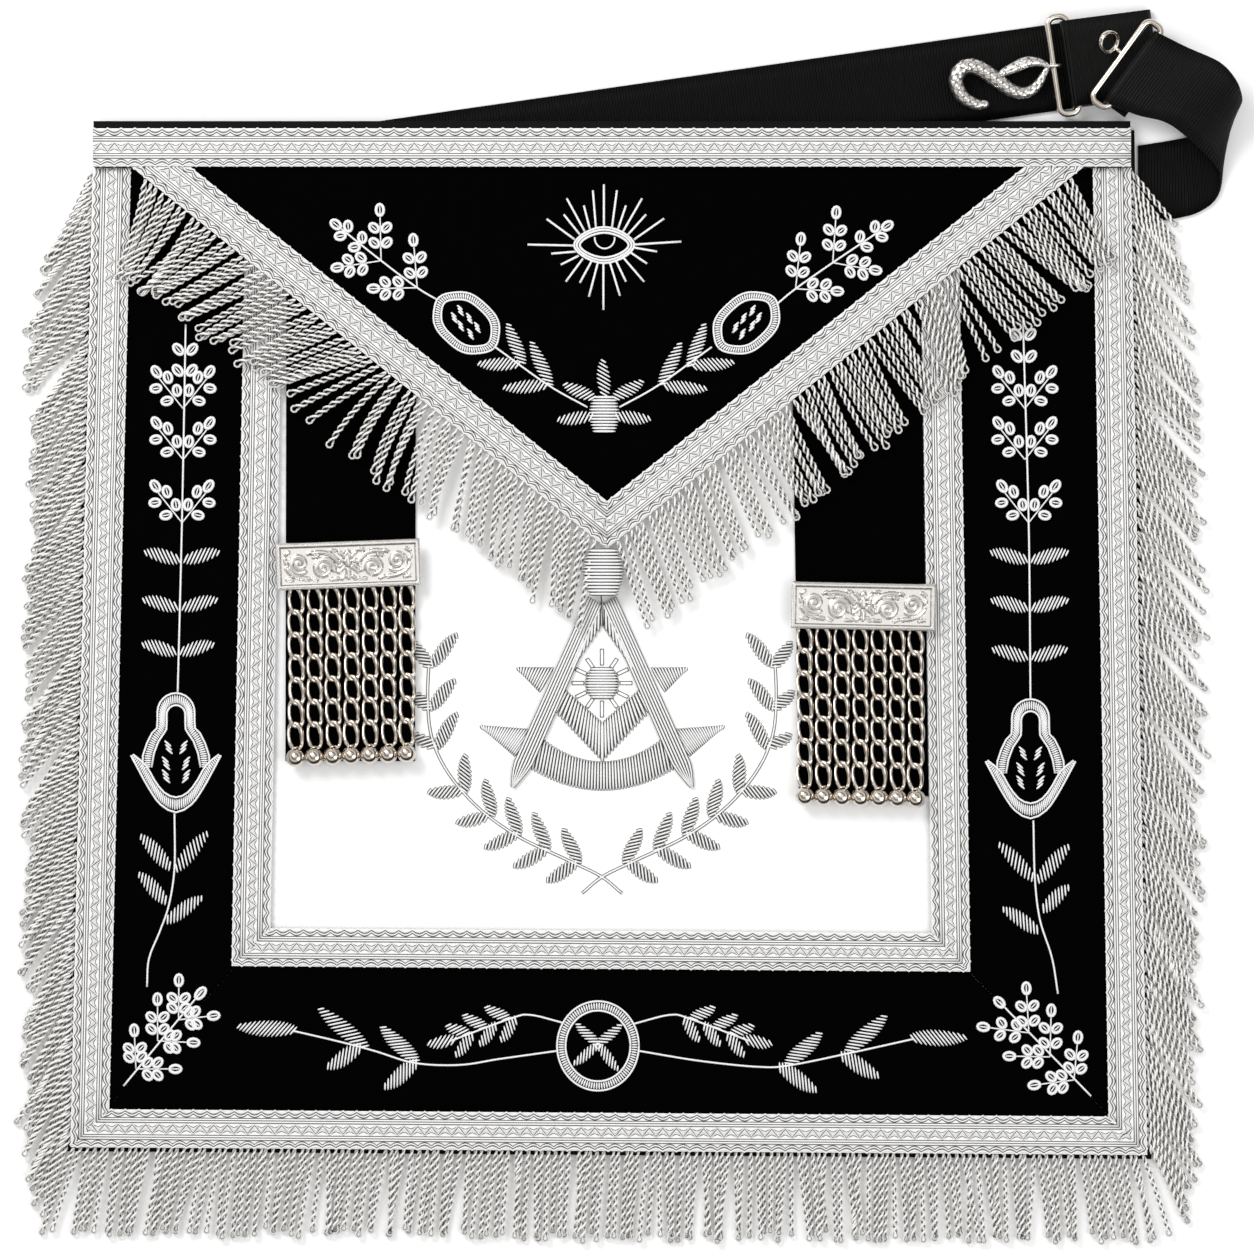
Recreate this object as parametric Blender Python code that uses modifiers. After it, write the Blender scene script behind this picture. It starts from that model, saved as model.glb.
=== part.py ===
"""A fraternal apron laid flat, face up. X runs to the right, Y up the apron and Z up from the floor. The
origin is the middle of its back face."""

import math

import bmesh
import bpy
from mathutils import Matrix, Vector

# The apron's own sizes, in metres
WIDTH = 0.3960  # across the top, over the braid
FOOT_WIDTH = 0.4114  # across the foot
HEIGHT = 0.3904  # top braid's edge to foot braid's edge
FOOT_SHIFT = 0.0012  # the foot sits this far left
FOOT_DROP = 0.0015  # and is this much lower at its right end, higher at its left
BRAID = 0.0145  # width of the silver tape
HEM = 0.0030  # black binding seen above the top braid
LIP = 0.0020  # lining seen outside the braid
SHEET = 0.0012  # lining and webbing thickness
PLY = 0.0010  # leather, velvet and tape thickness
GAP = 0.0003  # left between sewn plies
HEADER = 0.0045  # woven head of the fringe, under the tape
FRINGE = 0.0330  # length of the hanging cords
LOCK = 0.0024  # thickness of a lock of cords
FLAP_TIP = 0.1602  # depth of the flap's point below the top edge, over the braid
TAB = 0.0490  # width of a tassel's tab
TAB_TOP = 0.40  # where a tab ends under the flap, as a share of the height
BAR_LENGTH = 0.0540
BAR_WIDTH = 0.0168
BAR_WALL = 0.0012
LINK_PITCH = 0.0086
LINK_LENGTH = 0.0118
LINK_WIDTH = 0.0067
LINK_WIRE = 0.0017
LINK_TWIST = 0.0009  # rise and fall of a curb link's ends
LINKS = 7
BALL = 0.0074
CHAINS = 7
CHAIN_PITCH = 0.00705
WEBBING = 0.0330
STRAP_RISE = 0.03728  # climb of the belt from its middle to the left frame
STRAP_RUN = 0.6600  # the way along it from its middle to that frame, over the width
STRAP_SLOPE = math.asin(STRAP_RISE / (STRAP_RUN * WIDTH))
FRAME_LENGTH = 0.0400
FRAME_DEPTH = 0.0100
FRAME_WIRE = 0.0026
HOOK = 0.0373  # reach of the snake hook from its eye
EYE = 0.0085  # outer diameter of the soldered eye
EYE_WIRE = 0.0016

# Heights of the plies' lower faces
PANEL_Z = SHEET + GAP
VELVET_Z = PANEL_Z + PLY + GAP
BRAID_Z = VELVET_Z + PLY + GAP
FLAP_Z = BRAID_Z + PLY + GAP
TOP_Z = FLAP_Z + PLY + GAP
CHAIN_Z = VELVET_Z + PLY + GAP + LINK_TWIST + LINK_WIRE / 2
BALL_Z = VELVET_Z + PLY + GAP + BALL / 2
BAR_Z = CHAIN_Z + LINK_TWIST + LINK_WIRE / 2 + GAP
FRAME_Z = SHEET + GAP + 0.0019 + FRAME_WIRE / 2

for old in list(bpy.data.objects):
    bpy.data.objects.remove(old, do_unlink=True)
apron = bpy.data.collections.new("masonic_apron")
cutters = bpy.data.collections.new("cutters")
for group in (apron, cutters):
    bpy.context.scene.collection.children.link(group)

# name: base colour, metallic, roughness
FINISHES = {
    "lining": ((0.012, 0.012, 0.013), 0.0, 0.8),
    "leather": ((0.86, 0.86, 0.85), 0.0, 0.5),
    "velvet": ((0.006, 0.006, 0.007), 0.0, 0.95),
    "tape": ((0.72, 0.72, 0.72), 0.3, 0.5),
    "cord": ((0.62, 0.61, 0.60), 0.3, 0.5),
    "webbing": ((0.010, 0.010, 0.011), 0.0, 0.7),
    "nickel": ((0.62, 0.59, 0.56), 1.0, 0.22),
    "cast_silver": ((0.70, 0.69, 0.67), 1.0, 0.3),
}


def finish(name, node):
    """Each piece has a material of its own, named for it."""
    colour, metal, rough = FINISHES[name]
    m = bpy.data.materials.new(f"{node}_{name}")
    m.use_nodes = True
    shader = m.node_tree.nodes["Principled BSDF"]
    shader.inputs["Base Color"].default_value = (*colour, 1.0)
    shader.inputs["Metallic"].default_value = metal
    shader.inputs["Roughness"].default_value = rough
    return m


def keep(obj, look):
    """Put a finished piece in the apron's collection."""
    for c in list(obj.users_collection):
        c.objects.unlink(obj)
    apron.objects.link(obj)
    obj.data.materials.clear()
    obj.data.materials.append(finish(look, obj.name))
    return obj


def body_of(name, mesh):
    """A mesh welded along its seams, faced outward and set out as an object to work on."""
    bm = bmesh.new()
    bm.from_mesh(mesh)
    bmesh.ops.remove_doubles(bm, verts=bm.verts, dist=0.000005)
    bmesh.ops.recalc_face_normals(bm, faces=bm.faces)
    bm.to_mesh(mesh)
    bm.free()
    out = bpy.data.objects.new(name, mesh)
    cutters.objects.link(out)
    return out


def settled(obj, *spent):
    """The object with its modifiers applied; it and any tools it used are removed."""
    name = obj.name
    obj.name = name + "_raw"
    bpy.context.view_layer.update()
    mesh = bpy.data.meshes.new_from_object(obj.evaluated_get(bpy.context.evaluated_depsgraph_get()))
    mesh.transform(obj.matrix_world)
    for o in (obj, *spent):
        bpy.data.objects.remove(o, do_unlink=True)
    return body_of(name, mesh)


def joined(name, objs):
    """Several loose bodies as one mesh, before a union."""
    bm = bmesh.new()
    for o in objs:
        bm.from_mesh(o.data)
        bpy.data.objects.remove(o, do_unlink=True)
    mesh = bpy.data.meshes.new(name)
    bm.to_mesh(mesh)
    bm.free()
    return body_of(name, mesh)


def cut(name, base, other, how="UNION"):
    """Two overlapping bodies fused into one, or the second cut out of the first."""
    base.name = name
    boolean = base.modifiers.new("cut", "BOOLEAN")
    boolean.operation, boolean.solver, boolean.object = how, "EXACT", other
    return settled(base, other)


def plate(name, outline, z, thick, look=None):
    """A flat ply: a filled outline drawn in plan and raised to its thickness."""
    curve = bpy.data.curves.new(name, "CURVE")
    curve.dimensions, curve.fill_mode = "2D", "BOTH"
    curve.extrude = thick / 2
    spline = curve.splines.new("POLY")
    spline.points.add(len(outline) - 1)
    for p, (x, y) in zip(spline.points, outline):
        p.co = (x, y, 0, 1)
    spline.use_cyclic_u = True
    obj = bpy.data.objects.new(name, curve)
    obj.location.z = z + thick / 2
    cutters.objects.link(obj)
    out = settled(obj)
    return keep(out, look) if look else out


def wire(name, points, radius, sides, closed=False, radii=None):
    """A round wire with this many sides along a path."""
    rim = bpy.data.curves.new("rim", "CURVE")
    rim.dimensions = "2D"
    profile = rim.splines.new("POLY")
    profile.points.add(sides - 1)
    for i, p in enumerate(profile.points):
        a = 2 * math.pi * (i + 0.5) / sides
        p.co = (radius * math.cos(a), radius * math.sin(a), 0, 1)
    profile.use_cyclic_u = True
    rim_obj = bpy.data.objects.new("rim", rim)
    cutters.objects.link(rim_obj)
    curve = bpy.data.curves.new(name, "CURVE")
    curve.dimensions = "3D"
    curve.bevel_mode, curve.bevel_object = "OBJECT", rim_obj
    curve.use_fill_caps = not closed
    spline = curve.splines.new("POLY")
    spline.points.add(len(points) - 1)
    for i, (p, co) in enumerate(zip(spline.points, points)):
        p.co = (*co, 1)
        p.radius = radii[i] if radii else 1.0
    spline.use_cyclic_u = closed
    obj = bpy.data.objects.new(name, curve)
    cutters.objects.link(obj)
    return settled(obj, rim_obj)


def globe(name, centre, diameter, around=10, rings=5):
    """A ball turned from its half profile."""
    mesh = bpy.data.meshes.new(name)
    turn = [math.pi * i / rings for i in range(rings + 1)]
    half = [(diameter / 2 * math.sin(a), 0.0, diameter / 2 * math.cos(a)) for a in turn]
    mesh.from_pydata(half, [(i, i + 1) for i in range(rings)], [])
    obj = bpy.data.objects.new(name, mesh)
    obj.location = centre
    cutters.objects.link(obj)
    screw = obj.modifiers.new("turn", "SCREW")
    screw.steps = screw.render_steps = around
    screw.use_merge_vertices, screw.merge_threshold = True, 0.00001
    screw.use_normal_calculate = True
    return settled(obj)


# Outlines in plan


def meet(p, d, q, e):
    """Where two lines cross, each given by a point and a direction."""
    den = d[0] * e[1] - d[1] * e[0]
    t = ((q[0] - p[0]) * e[1] - (q[1] - p[1]) * e[0]) / den
    return (p[0] + d[0] * t, p[1] + d[1] * t)


def shifted(a, b, by):
    """The line a to b moved to its left by this much, as a point and a direction."""
    dx, dy = b[0] - a[0], b[1] - a[1]
    n = math.hypot(dx, dy)
    return (a[0] - dy / n * by, a[1] + dx / n * by), (dx, dy)


def inset(quad, by, top):
    """A four-cornered outline (top left, foot left, foot right, top right) drawn in on three sides and cut
    off at a height."""
    tl, bl, br, tr = quad
    left, foot, right = shifted(tl, bl, by), shifted(bl, br, by), shifted(br, tr, by)
    bl2, br2 = meet(*left, *foot), meet(*foot, *right)
    return (
        meet(*left, (0, top), (1, 0)),
        bl2,
        br2,
        meet(*right, (0, top), (1, 0)),
    )


def toward(p, q, by):
    """The point this far from p on the way to q."""
    d = Vector((q[0] - p[0], q[1] - p[1])).normalized()
    return (p[0] + d.x * by, p[1] + d.y * by)


top_y = HEIGHT / 2
outer = (
    (-WIDTH / 2, top_y),
    (-FOOT_WIDTH / 2 - FOOT_SHIFT, -top_y + FOOT_DROP),
    (FOOT_WIDTH / 2 - FOOT_SHIFT, -top_y - FOOT_DROP),
    (WIDTH / 2, top_y),
)
# inner tape's outer corners, as shares of the width and the height
INNER = ((-0.3528, 0.4623), (-0.3669, -0.3189), (0.3457, -0.3245), (0.3336, 0.4623))
inner = tuple((x * WIDTH, y * HEIGHT) for x, y in INNER)
under_hem = top_y - BRAID - GAP

# strap line in plan
slope = Vector((math.cos(STRAP_SLOPE), math.sin(STRAP_SLOPE), 0))
across = Vector((math.sin(STRAP_SLOPE), -math.cos(STRAP_SLOPE), 0))
strap_mid = Vector((-0.2086 * WIDTH, 0.4685 * HEIGHT, 0))
strap_low = strap_mid + across * (WEBBING / 2 + GAP)

# Plies, from the floor up
b = inset(outer, -LIP, top_y)
low = (strap_low.x, strap_low.y)
cut_left = meet(low, (slope.x, slope.y), b[0], (b[1][0] - b[0][0], b[1][1] - b[0][1]))
cut_top = meet(low, (slope.x, slope.y), (0, top_y), (1, 0))
plate("backing", (cut_left, b[1], b[2], b[3], cut_top), 0.0, SHEET, "lining")
plate("panel", outer, PANEL_Z, PLY, "leather")

v_out, v_in = inset(outer, HEADER + GAP, under_hem), inset(inner, BRAID - 2 * GAP, under_hem)
h = GAP / 2


plate(
    "velvet_left",
    (v_out[0], toward(v_out[1], v_out[0], h), toward(v_in[1], v_in[0], h), v_in[0]),
    VELVET_Z,
    PLY,
    "velvet",
)
plate(
    "velvet_bottom",
    (toward(v_out[1], v_out[2], h), toward(v_out[2], v_out[1], h), toward(v_in[2], v_in[1], h),
     toward(v_in[1], v_in[2], h)),
    VELVET_Z,
    PLY,
    "velvet",
)
plate(
    "velvet_right",
    (toward(v_out[2], v_out[3], h), v_out[3], v_in[3], toward(v_in[2], v_in[3], h)),
    VELVET_Z,
    PLY,
    "velvet",
)


def rail(name, quad, z):
    """A tape round three sides, folded at the corners."""
    o, i = inset(quad, 0, under_hem), inset(quad, BRAID, under_hem)
    return plate(name, (*o, i[3], i[2], i[1], i[0]), z, PLY, "tape")


rail("outer_braid", outer, BRAID_Z)
rail("inner_braid", inner, BRAID_Z)

plate(
    "hem",
    (
        (-WIDTH / 2, top_y - BRAID),
        (WIDTH / 2, top_y - BRAID),
        (WIDTH / 2, top_y + HEM),
        (-WIDTH / 2, top_y + HEM),
    ),
    VELVET_Z,
    TOP_Z - GAP - VELVET_Z,
    "lining",
)
plate(
    "top_braid",
    ((-WIDTH / 2, top_y - BRAID), (WIDTH / 2, top_y - BRAID), (WIDTH / 2, top_y), (-WIDTH / 2, top_y)),
    TOP_Z,
    PLY,
    "tape",
)

# The flap: a point below the top braid
tip = (-0.0048 * WIDTH, top_y - FLAP_TIP)
SHOULDERS = (-0.4624, 0.4540)  # where the slanted tape's outer edge starts, as shares of the width
f_left, f_right = ((s * WIDTH, under_hem) for s in SHOULDERS)


def point(by):
    """The flap's outline drawn in from the tape's outer edges."""
    left, right = shifted(f_left, tip, by), shifted(tip, f_right, by)
    return meet(*left, (0, under_hem), (1, 0)), meet(*left, *right), meet(*right, (0, under_hem), (1, 0))


plate("flap", point(HEADER + GAP), FLAP_Z, PLY, "velvet")
fo, fi = point(0), point(BRAID * 0.97)
plate("flap_braid", (*fo, fi[2], fi[1], fi[0]), TOP_Z, PLY, "tape")


def comb(name, a, b, z, locks, lean, length, drop, short=None):
    """Cord fringe along the line a to b: a header under the tape, and locks that hang off its edge. lean is
    the direction of the first and last lock, drop how far a tip sinks and short how its length is cut."""
    a, b, steps = Vector(a), Vector(b), locks
    run = b - a
    side = Vector((-run.y, run.x)).normalized()
    outline, fall = [], []
    for k in range(steps):
        t = (k + 0.5) / steps
        angle = math.radians(lean[0] + (lean[1] - lean[0]) * t)
        way = Vector((math.cos(angle), math.sin(angle)))
        reach = length * (short(t) if short else 1.0) * (0.97 + 0.06 * math.sin(2.4 * k))
        for share, out in ((0.04, 0), (0.10, 1), (0.86, 1), (0.96, 0)):
            foot = a + run * ((k + share) / steps)
            outline.append(foot + way * reach * out)
            fall.append(drop(outline[-1]) if out else 0.0)
    for end in (b, a):
        outline.append(end + side * HEADER)
        fall.append(0.0)
    body = plate(name, [tuple(p) for p in outline], z, PLY)
    where = {}
    for p, f in zip(outline, fall):
        where[(round(p.x * 1e5), round(p.y * 1e5))] = f
    for v in body.data.vertices:
        f = where.get((round(v.co.x * 1e5), round(v.co.y * 1e5)), 0.0)
        upper = v.co.z > z + PLY / 2
        if f:
            v.co.z += (LOCK - PLY) * upper - f
    return keep(body, "cord")


rest = VELVET_Z  # how far a lock falls to lie on the floor


def to_floor(p):
    return rest


def over_strap(p):
    return rest - SHEET - GAP if p.y > 0.36 * HEIGHT else rest


def level(p):
    return GAP / 2


def cut_back(t):
    """The last locks end short of the curled strap."""
    return 1.0 - 0.25 * max(0.0, (t - 0.86) / 0.14)


o = inset(outer, 0, under_hem)
comb("fringe_left", o[0], toward(o[1], o[0], HEADER * 1.1), VELVET_Z, 14, (223, 236), FRINGE, to_floor)
comb("fringe_bottom", o[1], o[2], VELVET_Z, 14, (262, 274), FRINGE * 0.95, to_floor)
comb("fringe_right", toward(o[2], o[3], HEADER * 1.1), o[3], VELVET_Z, 14, (304, 317), FRINGE, over_strap,
     cut_back)
comb("flap_fringe_left", toward(fo[0], fo[1], HEADER * 1.3), toward(fo[1], fo[0], HEADER),
     FLAP_Z, 9, (232, 258), FRINGE, level)
comb("flap_fringe_right", toward(fo[1], fo[2], HEADER), toward(fo[2], fo[1], HEADER * 1.3),
     FLAP_Z, 9, (280, 308), FRINGE, level)

# Tassels: the bar's centre from the tab's outer edge as a share of the tab's width and its height as a share
# of the apron's, its tilt in degrees, the tab's foot as a share of the height, and how far the chains sit off
# the bar's middle, over the bar's width.
TASSELS = {
    "left": {"bar": (0.5530, 0.0738), "tilt": 2.1, "foot": -0.1186, "lead": 0.065},
    "right": {"bar": (0.4818, 0.0333), "tilt": -1.2, "foot": -0.1529, "lead": -0.077},
}


def turned(x, y, centre, tilt):
    c, s = math.cos(tilt), math.sin(tilt)
    return (centre[0] + c * x - s * y, centre[1] + s * x + c * y)


def box(w, h, up, centre, tilt):
    """A turned rectangle's corners."""
    corners = ((-1, -1), (1, -1), (1, 1), (-1, 1))
    return [turned(i * w / 2, j * h / 2 + up, centre, tilt) for i, j in corners]


def chain(name, x, y, z):
    """A curb chain hung down the tab from its first link's top, fused to its ball."""
    odd, even = [], []
    a, l = (LINK_WIDTH - LINK_WIRE) / 2, (LINK_LENGTH - LINK_WIRE) / 2
    for i in range(LINKS):
        loop = []
        for k in range(10):
            t = 2 * math.pi * (k + 0.5) / 10
            loop.append((
                x + a * math.copysign(abs(math.cos(t)) ** 0.8, math.cos(t)),
                y - LINK_LENGTH / 2 - i * LINK_PITCH + l * math.sin(t),
                z + LINK_TWIST * math.sin(2 * t),
            ))
        (even if i % 2 else odd).append(wire("link", loop, LINK_WIRE / 2, 5, closed=True))
    foot = y - LINK_LENGTH - (LINKS - 1) * LINK_PITCH
    even.append(globe("ball", (x, foot - BALL * 0.3, BALL_Z), BALL, 10, 4))
    return keep(cut(name, joined("odd", odd), joined("even", even)), "nickel")


def plain_chain(name, x, y, z):
    """A chain of the same run and bulk as a plain tube with a swelling for its ball."""
    length = LINK_LENGTH + (LINKS - 1) * LINK_PITCH
    half, end = LINK_TWIST + LINK_WIRE / 2, y - length - BALL * 0.8
    path, radii = [(x, y - 0.0002, z), (x, end + BALL, z)], [half, half]
    for up, wide in ((0.75, 0.86), (0.5, 1.0), (0.25, 0.86), (0.0, 0.3)):
        path.append((x, end + BALL * up, BALL_Z))
        radii.append(wide * BALL / 2)
    return keep(wire(name, path, 1.0, 8, radii=radii), "nickel")


for side, t in TASSELS.items():
    # the tab lies beside the inner tape
    corner, hand = (0, 1) if side == "left" else (3, -1)
    cy = t["bar"][1] * HEIGHT
    cx = inset(inner, BRAID + GAP, cy)[corner][0] + hand * t["bar"][0] * TAB
    tilt = math.radians(t["tilt"])
    ends = [inset(inner, BRAID + GAP, y)[corner] for y in (t["foot"] * HEIGHT, TAB_TOP * HEIGHT)]
    edge = [(x + hand * TAB, y) for x, y in ends]
    plate("tab_" + side, (ends[0], ends[1], edge[1], edge[0]), VELVET_Z, PLY, "velvet")
    # a plate with a raised rim and scrolls, and a web behind its upper half that is sewn to the tab
    place = ((cx, cy), tilt)
    body = plate("plate", box(BAR_LENGTH, BAR_WIDTH, 0, *place), BAR_Z, BAR_WALL)
    foot = VELVET_Z + PLY + GAP
    web = plate("web", box(BAR_LENGTH * 0.84, BAR_WIDTH * 0.36, BAR_WIDTH * 0.27, *place), foot,
                BAR_Z - foot + BAR_WALL / 2)
    body = cut("bar", body, web)
    well = box(BAR_LENGTH - 0.2 * BAR_WIDTH, BAR_WIDTH * 0.8, 0, *place)
    well = plate("well", well, BAR_Z + BAR_WALL * 0.5, BAR_WALL)
    body = cut("bar", body, well, "DIFFERENCE")
    for hand in (-1, 1):
        scroll = []
        for k in range(9):
            u = k / 8
            r = BAR_WIDTH * (0.24 - 0.14 * u)
            w = math.pi * (0.5 + 1.5 * u)
            px, py = hand * (BAR_LENGTH * 0.20 + r * math.cos(w) * 1.4), r * math.sin(w)
            scroll.append((*turned(px, py, (cx, cy), tilt), BAR_Z + BAR_WALL * 0.55))
        line = wire("scroll", scroll, BAR_WALL * 0.42, 5)
        body = cut("bar", body, line)
    body.name = "bar_" + side
    keep(body, "cast_silver")
    top = cy - BAR_WIDTH / 2 + LINK_WIRE
    for k in range(CHAINS):
        x = cx + t["lead"] * BAR_WIDTH + (k - (CHAINS - 1) / 2) * CHAIN_PITCH
        make = plain_chain if k % 2 else chain
        make(f"{side}_chain_{k + 1}", x, top + math.tan(tilt) * (x - cx), CHAIN_Z)

# Belt


def arc(cx, cz, r, start, end, steps):
    """Points of an arc in a strap's own side view."""
    return [
        (cx + r * math.cos(math.radians(start + (end - start) * i / steps)),
         cz + r * math.sin(math.radians(start + (end - start) * i / steps)))
        for i in range(steps + 1)
    ]


fold_at, bar_at, strap_start = 0.7407 * WIDTH, STRAP_RUN * WIDTH, -0.2740 * WIDTH
wrap = FRAME_WIRE / 2 + GAP + SHEET / 2
fold_r = SHEET / 2 + 0.00075
side_view = (
    [(strap_start, SHEET / 2), (0.5 * strap_start + 0.5 * fold_at, SHEET / 2)]
    + arc(fold_at - fold_r, SHEET / 2 + fold_r, fold_r, -90, 90, 6)
    + arc(bar_at, FRAME_Z, wrap, 85, 270, 8)
    + [(bar_at + 0.35 * WEBBING, FRAME_Z - wrap)]
)
curve = bpy.data.curves.new("webbing", "CURVE")
curve.dimensions, curve.extrude = "2D", WEBBING / 2
line = curve.splines.new("POLY")
line.points.add(len(side_view) - 1)
for p, (s, z) in zip(line.points, side_view):
    p.co = (s, z, 0, 1)
strap = bpy.data.objects.new("webbing", curve)
cutters.objects.link(strap)
frame = Matrix((
    (slope.x, 0, across.x, strap_mid.x),
    (slope.y, 0, across.y, strap_mid.y),
    (0, 1, 0, 0),
    (0, 0, 0, 1),
))
strap.matrix_world = frame
strap.name = "strap_left"
strap = settled(strap)
thick = strap.modifiers.new("thick", "SOLIDIFY")
thick.thickness, thick.offset, thick.use_even_offset = SHEET, 0.0, True
keep(settled(strap), "webbing")

# right strap: its two edges at each section, as shares of the width and height, and their heights over the
# webbing
C2 = Vector((0.5033 * WIDTH, 0.5564 * HEIGHT, 0))  # hidden bar of the right frame
d2 = Vector((0.59, 0.807, 0)).normalized()
n2 = Vector((0.807, -0.59, 0)).normalized()
FRAME2_Z = FRAME_Z + 0.0042
sections = []
for s, z in [(0.23 * WEBBING, -wrap)] + arc(0, 0, wrap, -90, -270, 6):
    mid = C2 + n2 * s + Vector((0, 0, FRAME2_Z + z))
    sections.append((mid + d2 * WEBBING / 2, mid - d2 * WEBBING / 2))
# columns: outer edge x, y, z, then inner edge x, y, z
TURN = (
    (0.5523, 0.5776, 0.38, 0.5058, 0.5120, 0.31),
    (0.5821, 0.5622, 0.50, 0.5359, 0.5038, 0.28),
    (0.5975, 0.5446, 0.54, 0.5644, 0.4816, 0.23),
    (0.6040, 0.5289, 0.485, 0.5846, 0.4611, 0.125),
    (0.6023, 0.5200, 0.365, 0.5884, 0.4457, 0.055),
    (0.5934, 0.5097, 0.24, 0.5833, 0.4316, 0.03),
    (0.5758, 0.5008, 0.085, 0.5707, 0.4214, 0.02),
    (0.5543, 0.4926, 0.0185, 0.5530, 0.4150, 0.0185),
    (0.5085, 0.4846, 0.0185, 0.5085, 0.4078, 0.0185),
)
for row in TURN:
    a, b = (Vector((x * WIDTH, y * HEIGHT, z * WEBBING)) for x, y, z in (row[:3], row[3:]))
    sections.append((a, b))
mesh = bpy.data.meshes.new("strap_right")
mesh.from_pydata(
    [tuple(p) for pair in sections for p in pair],
    [],
    [(2 * i, 2 * i + 1, 2 * i + 3, 2 * i + 2) for i in range(len(sections) - 1)],
)
strap = bpy.data.objects.new("strap_right", mesh)
cutters.objects.link(strap)
thick = strap.modifiers.new("thick", "SOLIDIFY")
thick.thickness, thick.offset, thick.use_even_offset = SHEET, 0.0, True
keep(settled(strap), "webbing")


def ring(centre, u, v, radius):
    """A circle's points in the plane of u and v."""
    turn = [math.pi * k / 6 for k in range(12)]
    return [tuple(centre + (u * math.cos(a) + v * math.sin(a)) * radius) for a in turn]


def strap_frame(name, hidden, bar, way):
    """A closed wire frame from its hidden bar's middle; bar runs along it, way points to the hidden side."""
    l, w = (FRAME_LENGTH - FRAME_WIRE) / 2, FRAME_DEPTH - FRAME_WIRE
    r = w * 0.26
    path = []
    for i, j, start in ((1, 0, 0), (-1, 0, 90), (-1, -1, 180), (1, -1, 270)):
        cx = i * (l - r)
        cy = (-r if j == 0 else r - w)
        for k in range(4):
            a = math.radians(start + 30 * k)
            path.append(tuple(hidden + bar * (cx + r * math.cos(a)) + way * (cy + r * math.sin(a))))
    return wire(name, path, FRAME_WIRE / 2, 6, closed=True)


C1 = frame @ Vector((bar_at, FRAME_Z, 0))
keep(strap_frame("frame_left", C1, across, slope), "nickel")
body = strap_frame("frame_right", C2 + Vector((0, 0, FRAME2_Z)), d2, n2)
lean = math.radians(38)
eye_mid = Vector((0.4773 * WIDTH, 0.5836 * HEIGHT, FRAME2_Z + 0.0022))
e1, e2 = d2.copy(), (-n2 * math.cos(lean) + Vector((0, 0, math.sin(lean))))
r = (EYE - EYE_WIRE) / 2
eye = wire("eye", ring(eye_mid, e1, e2, r), EYE_WIRE / 2, 6, closed=True)
body = cut("frame_right", body, eye)
near = C2 - n2 * (FRAME_DEPTH - FRAME_WIRE) + d2 * 0.002 + Vector((0, 0, FRAME2_Z))
stem = wire("stem", [tuple(near), tuple(eye_mid - e2 * r)], EYE_WIRE * 0.55, 6)
keep(cut("frame_right", body, stem), "nickel")

# snake hook: columns are reach left of the eye and rise above it, as shares of its reach, then half thickness
# over the frame's wire
BODY = (
    (0.700, -0.385, 0.62),
    (0.800, -0.385, 0.86),
    (0.938, -0.300, 1.00),
    (1.000, -0.153, 1.08),
    (0.960, -0.040, 1.10),
    (0.868, 0.005, 1.12),
    (0.760, -0.020, 1.14),
    (0.650, -0.090, 1.14),
    (0.550, -0.163, 1.10),
    (0.450, -0.235, 1.02),
    (0.340, -0.272, 0.92),
    (0.240, -0.250, 0.82),
    (0.160, -0.180, 0.70),
    (0.100, -0.080, 0.50),
    (0.060, -0.010, 0.36),
)
HEAD = (
    (0.055, 0.000, 0.34),
    (0.140, 0.040, 0.60),
    (0.270, 0.045, 0.86),
    (0.400, -0.010, 0.80),
    (0.520, -0.065, 0.42),
)
hinge = C1 - slope * (FRAME_DEPTH - FRAME_WIRE)
hook_z = SHEET + GAP + 1.14 * FRAME_WIRE


def creature(name, table):
    pts, radii = [], []
    for reach, rise, half in table:
        z = hook_z if reach > 0.1 else FRAME_Z
        pts.append((hinge.x - reach * HOOK, hinge.y + rise * HOOK, z))
        radii.append(half)
    return wire(name, pts, FRAME_WIRE, 6, radii=radii)


ring_wire = EYE_WIRE * 0.44
ring_r = FRAME_WIRE / 2 + GAP * 1.3 + ring_wire
loop = wire("loop", ring(hinge, slope, Vector((0, 0, 1)), ring_r), ring_wire, 6, closed=True)
hook = cut("snake_hook", creature("body", BODY), creature("head", HEAD))
keep(cut("snake_hook", hook, loop), "cast_silver")

for o in list(cutters.objects):
    bpy.data.objects.remove(o, do_unlink=True)
bpy.data.collections.remove(cutters)
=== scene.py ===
"""Looks of the fraternal apron: cloth, silver tape, cord fringe, bullion embroidery, chains and belt."""

import math

import bmesh
import bpy
import numpy as np
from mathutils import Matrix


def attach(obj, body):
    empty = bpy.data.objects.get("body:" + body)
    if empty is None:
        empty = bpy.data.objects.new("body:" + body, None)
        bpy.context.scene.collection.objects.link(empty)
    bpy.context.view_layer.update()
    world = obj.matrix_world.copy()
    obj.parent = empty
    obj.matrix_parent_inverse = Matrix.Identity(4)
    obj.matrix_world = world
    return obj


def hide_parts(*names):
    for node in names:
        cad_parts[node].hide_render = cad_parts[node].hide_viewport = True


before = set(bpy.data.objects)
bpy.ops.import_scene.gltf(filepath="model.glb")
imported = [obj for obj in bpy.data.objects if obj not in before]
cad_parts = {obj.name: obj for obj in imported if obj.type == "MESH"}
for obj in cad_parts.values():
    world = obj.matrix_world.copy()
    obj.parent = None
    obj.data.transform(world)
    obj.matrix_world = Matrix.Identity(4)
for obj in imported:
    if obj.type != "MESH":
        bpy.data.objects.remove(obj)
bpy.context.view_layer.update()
rng = np.random.default_rng(20)

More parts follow.
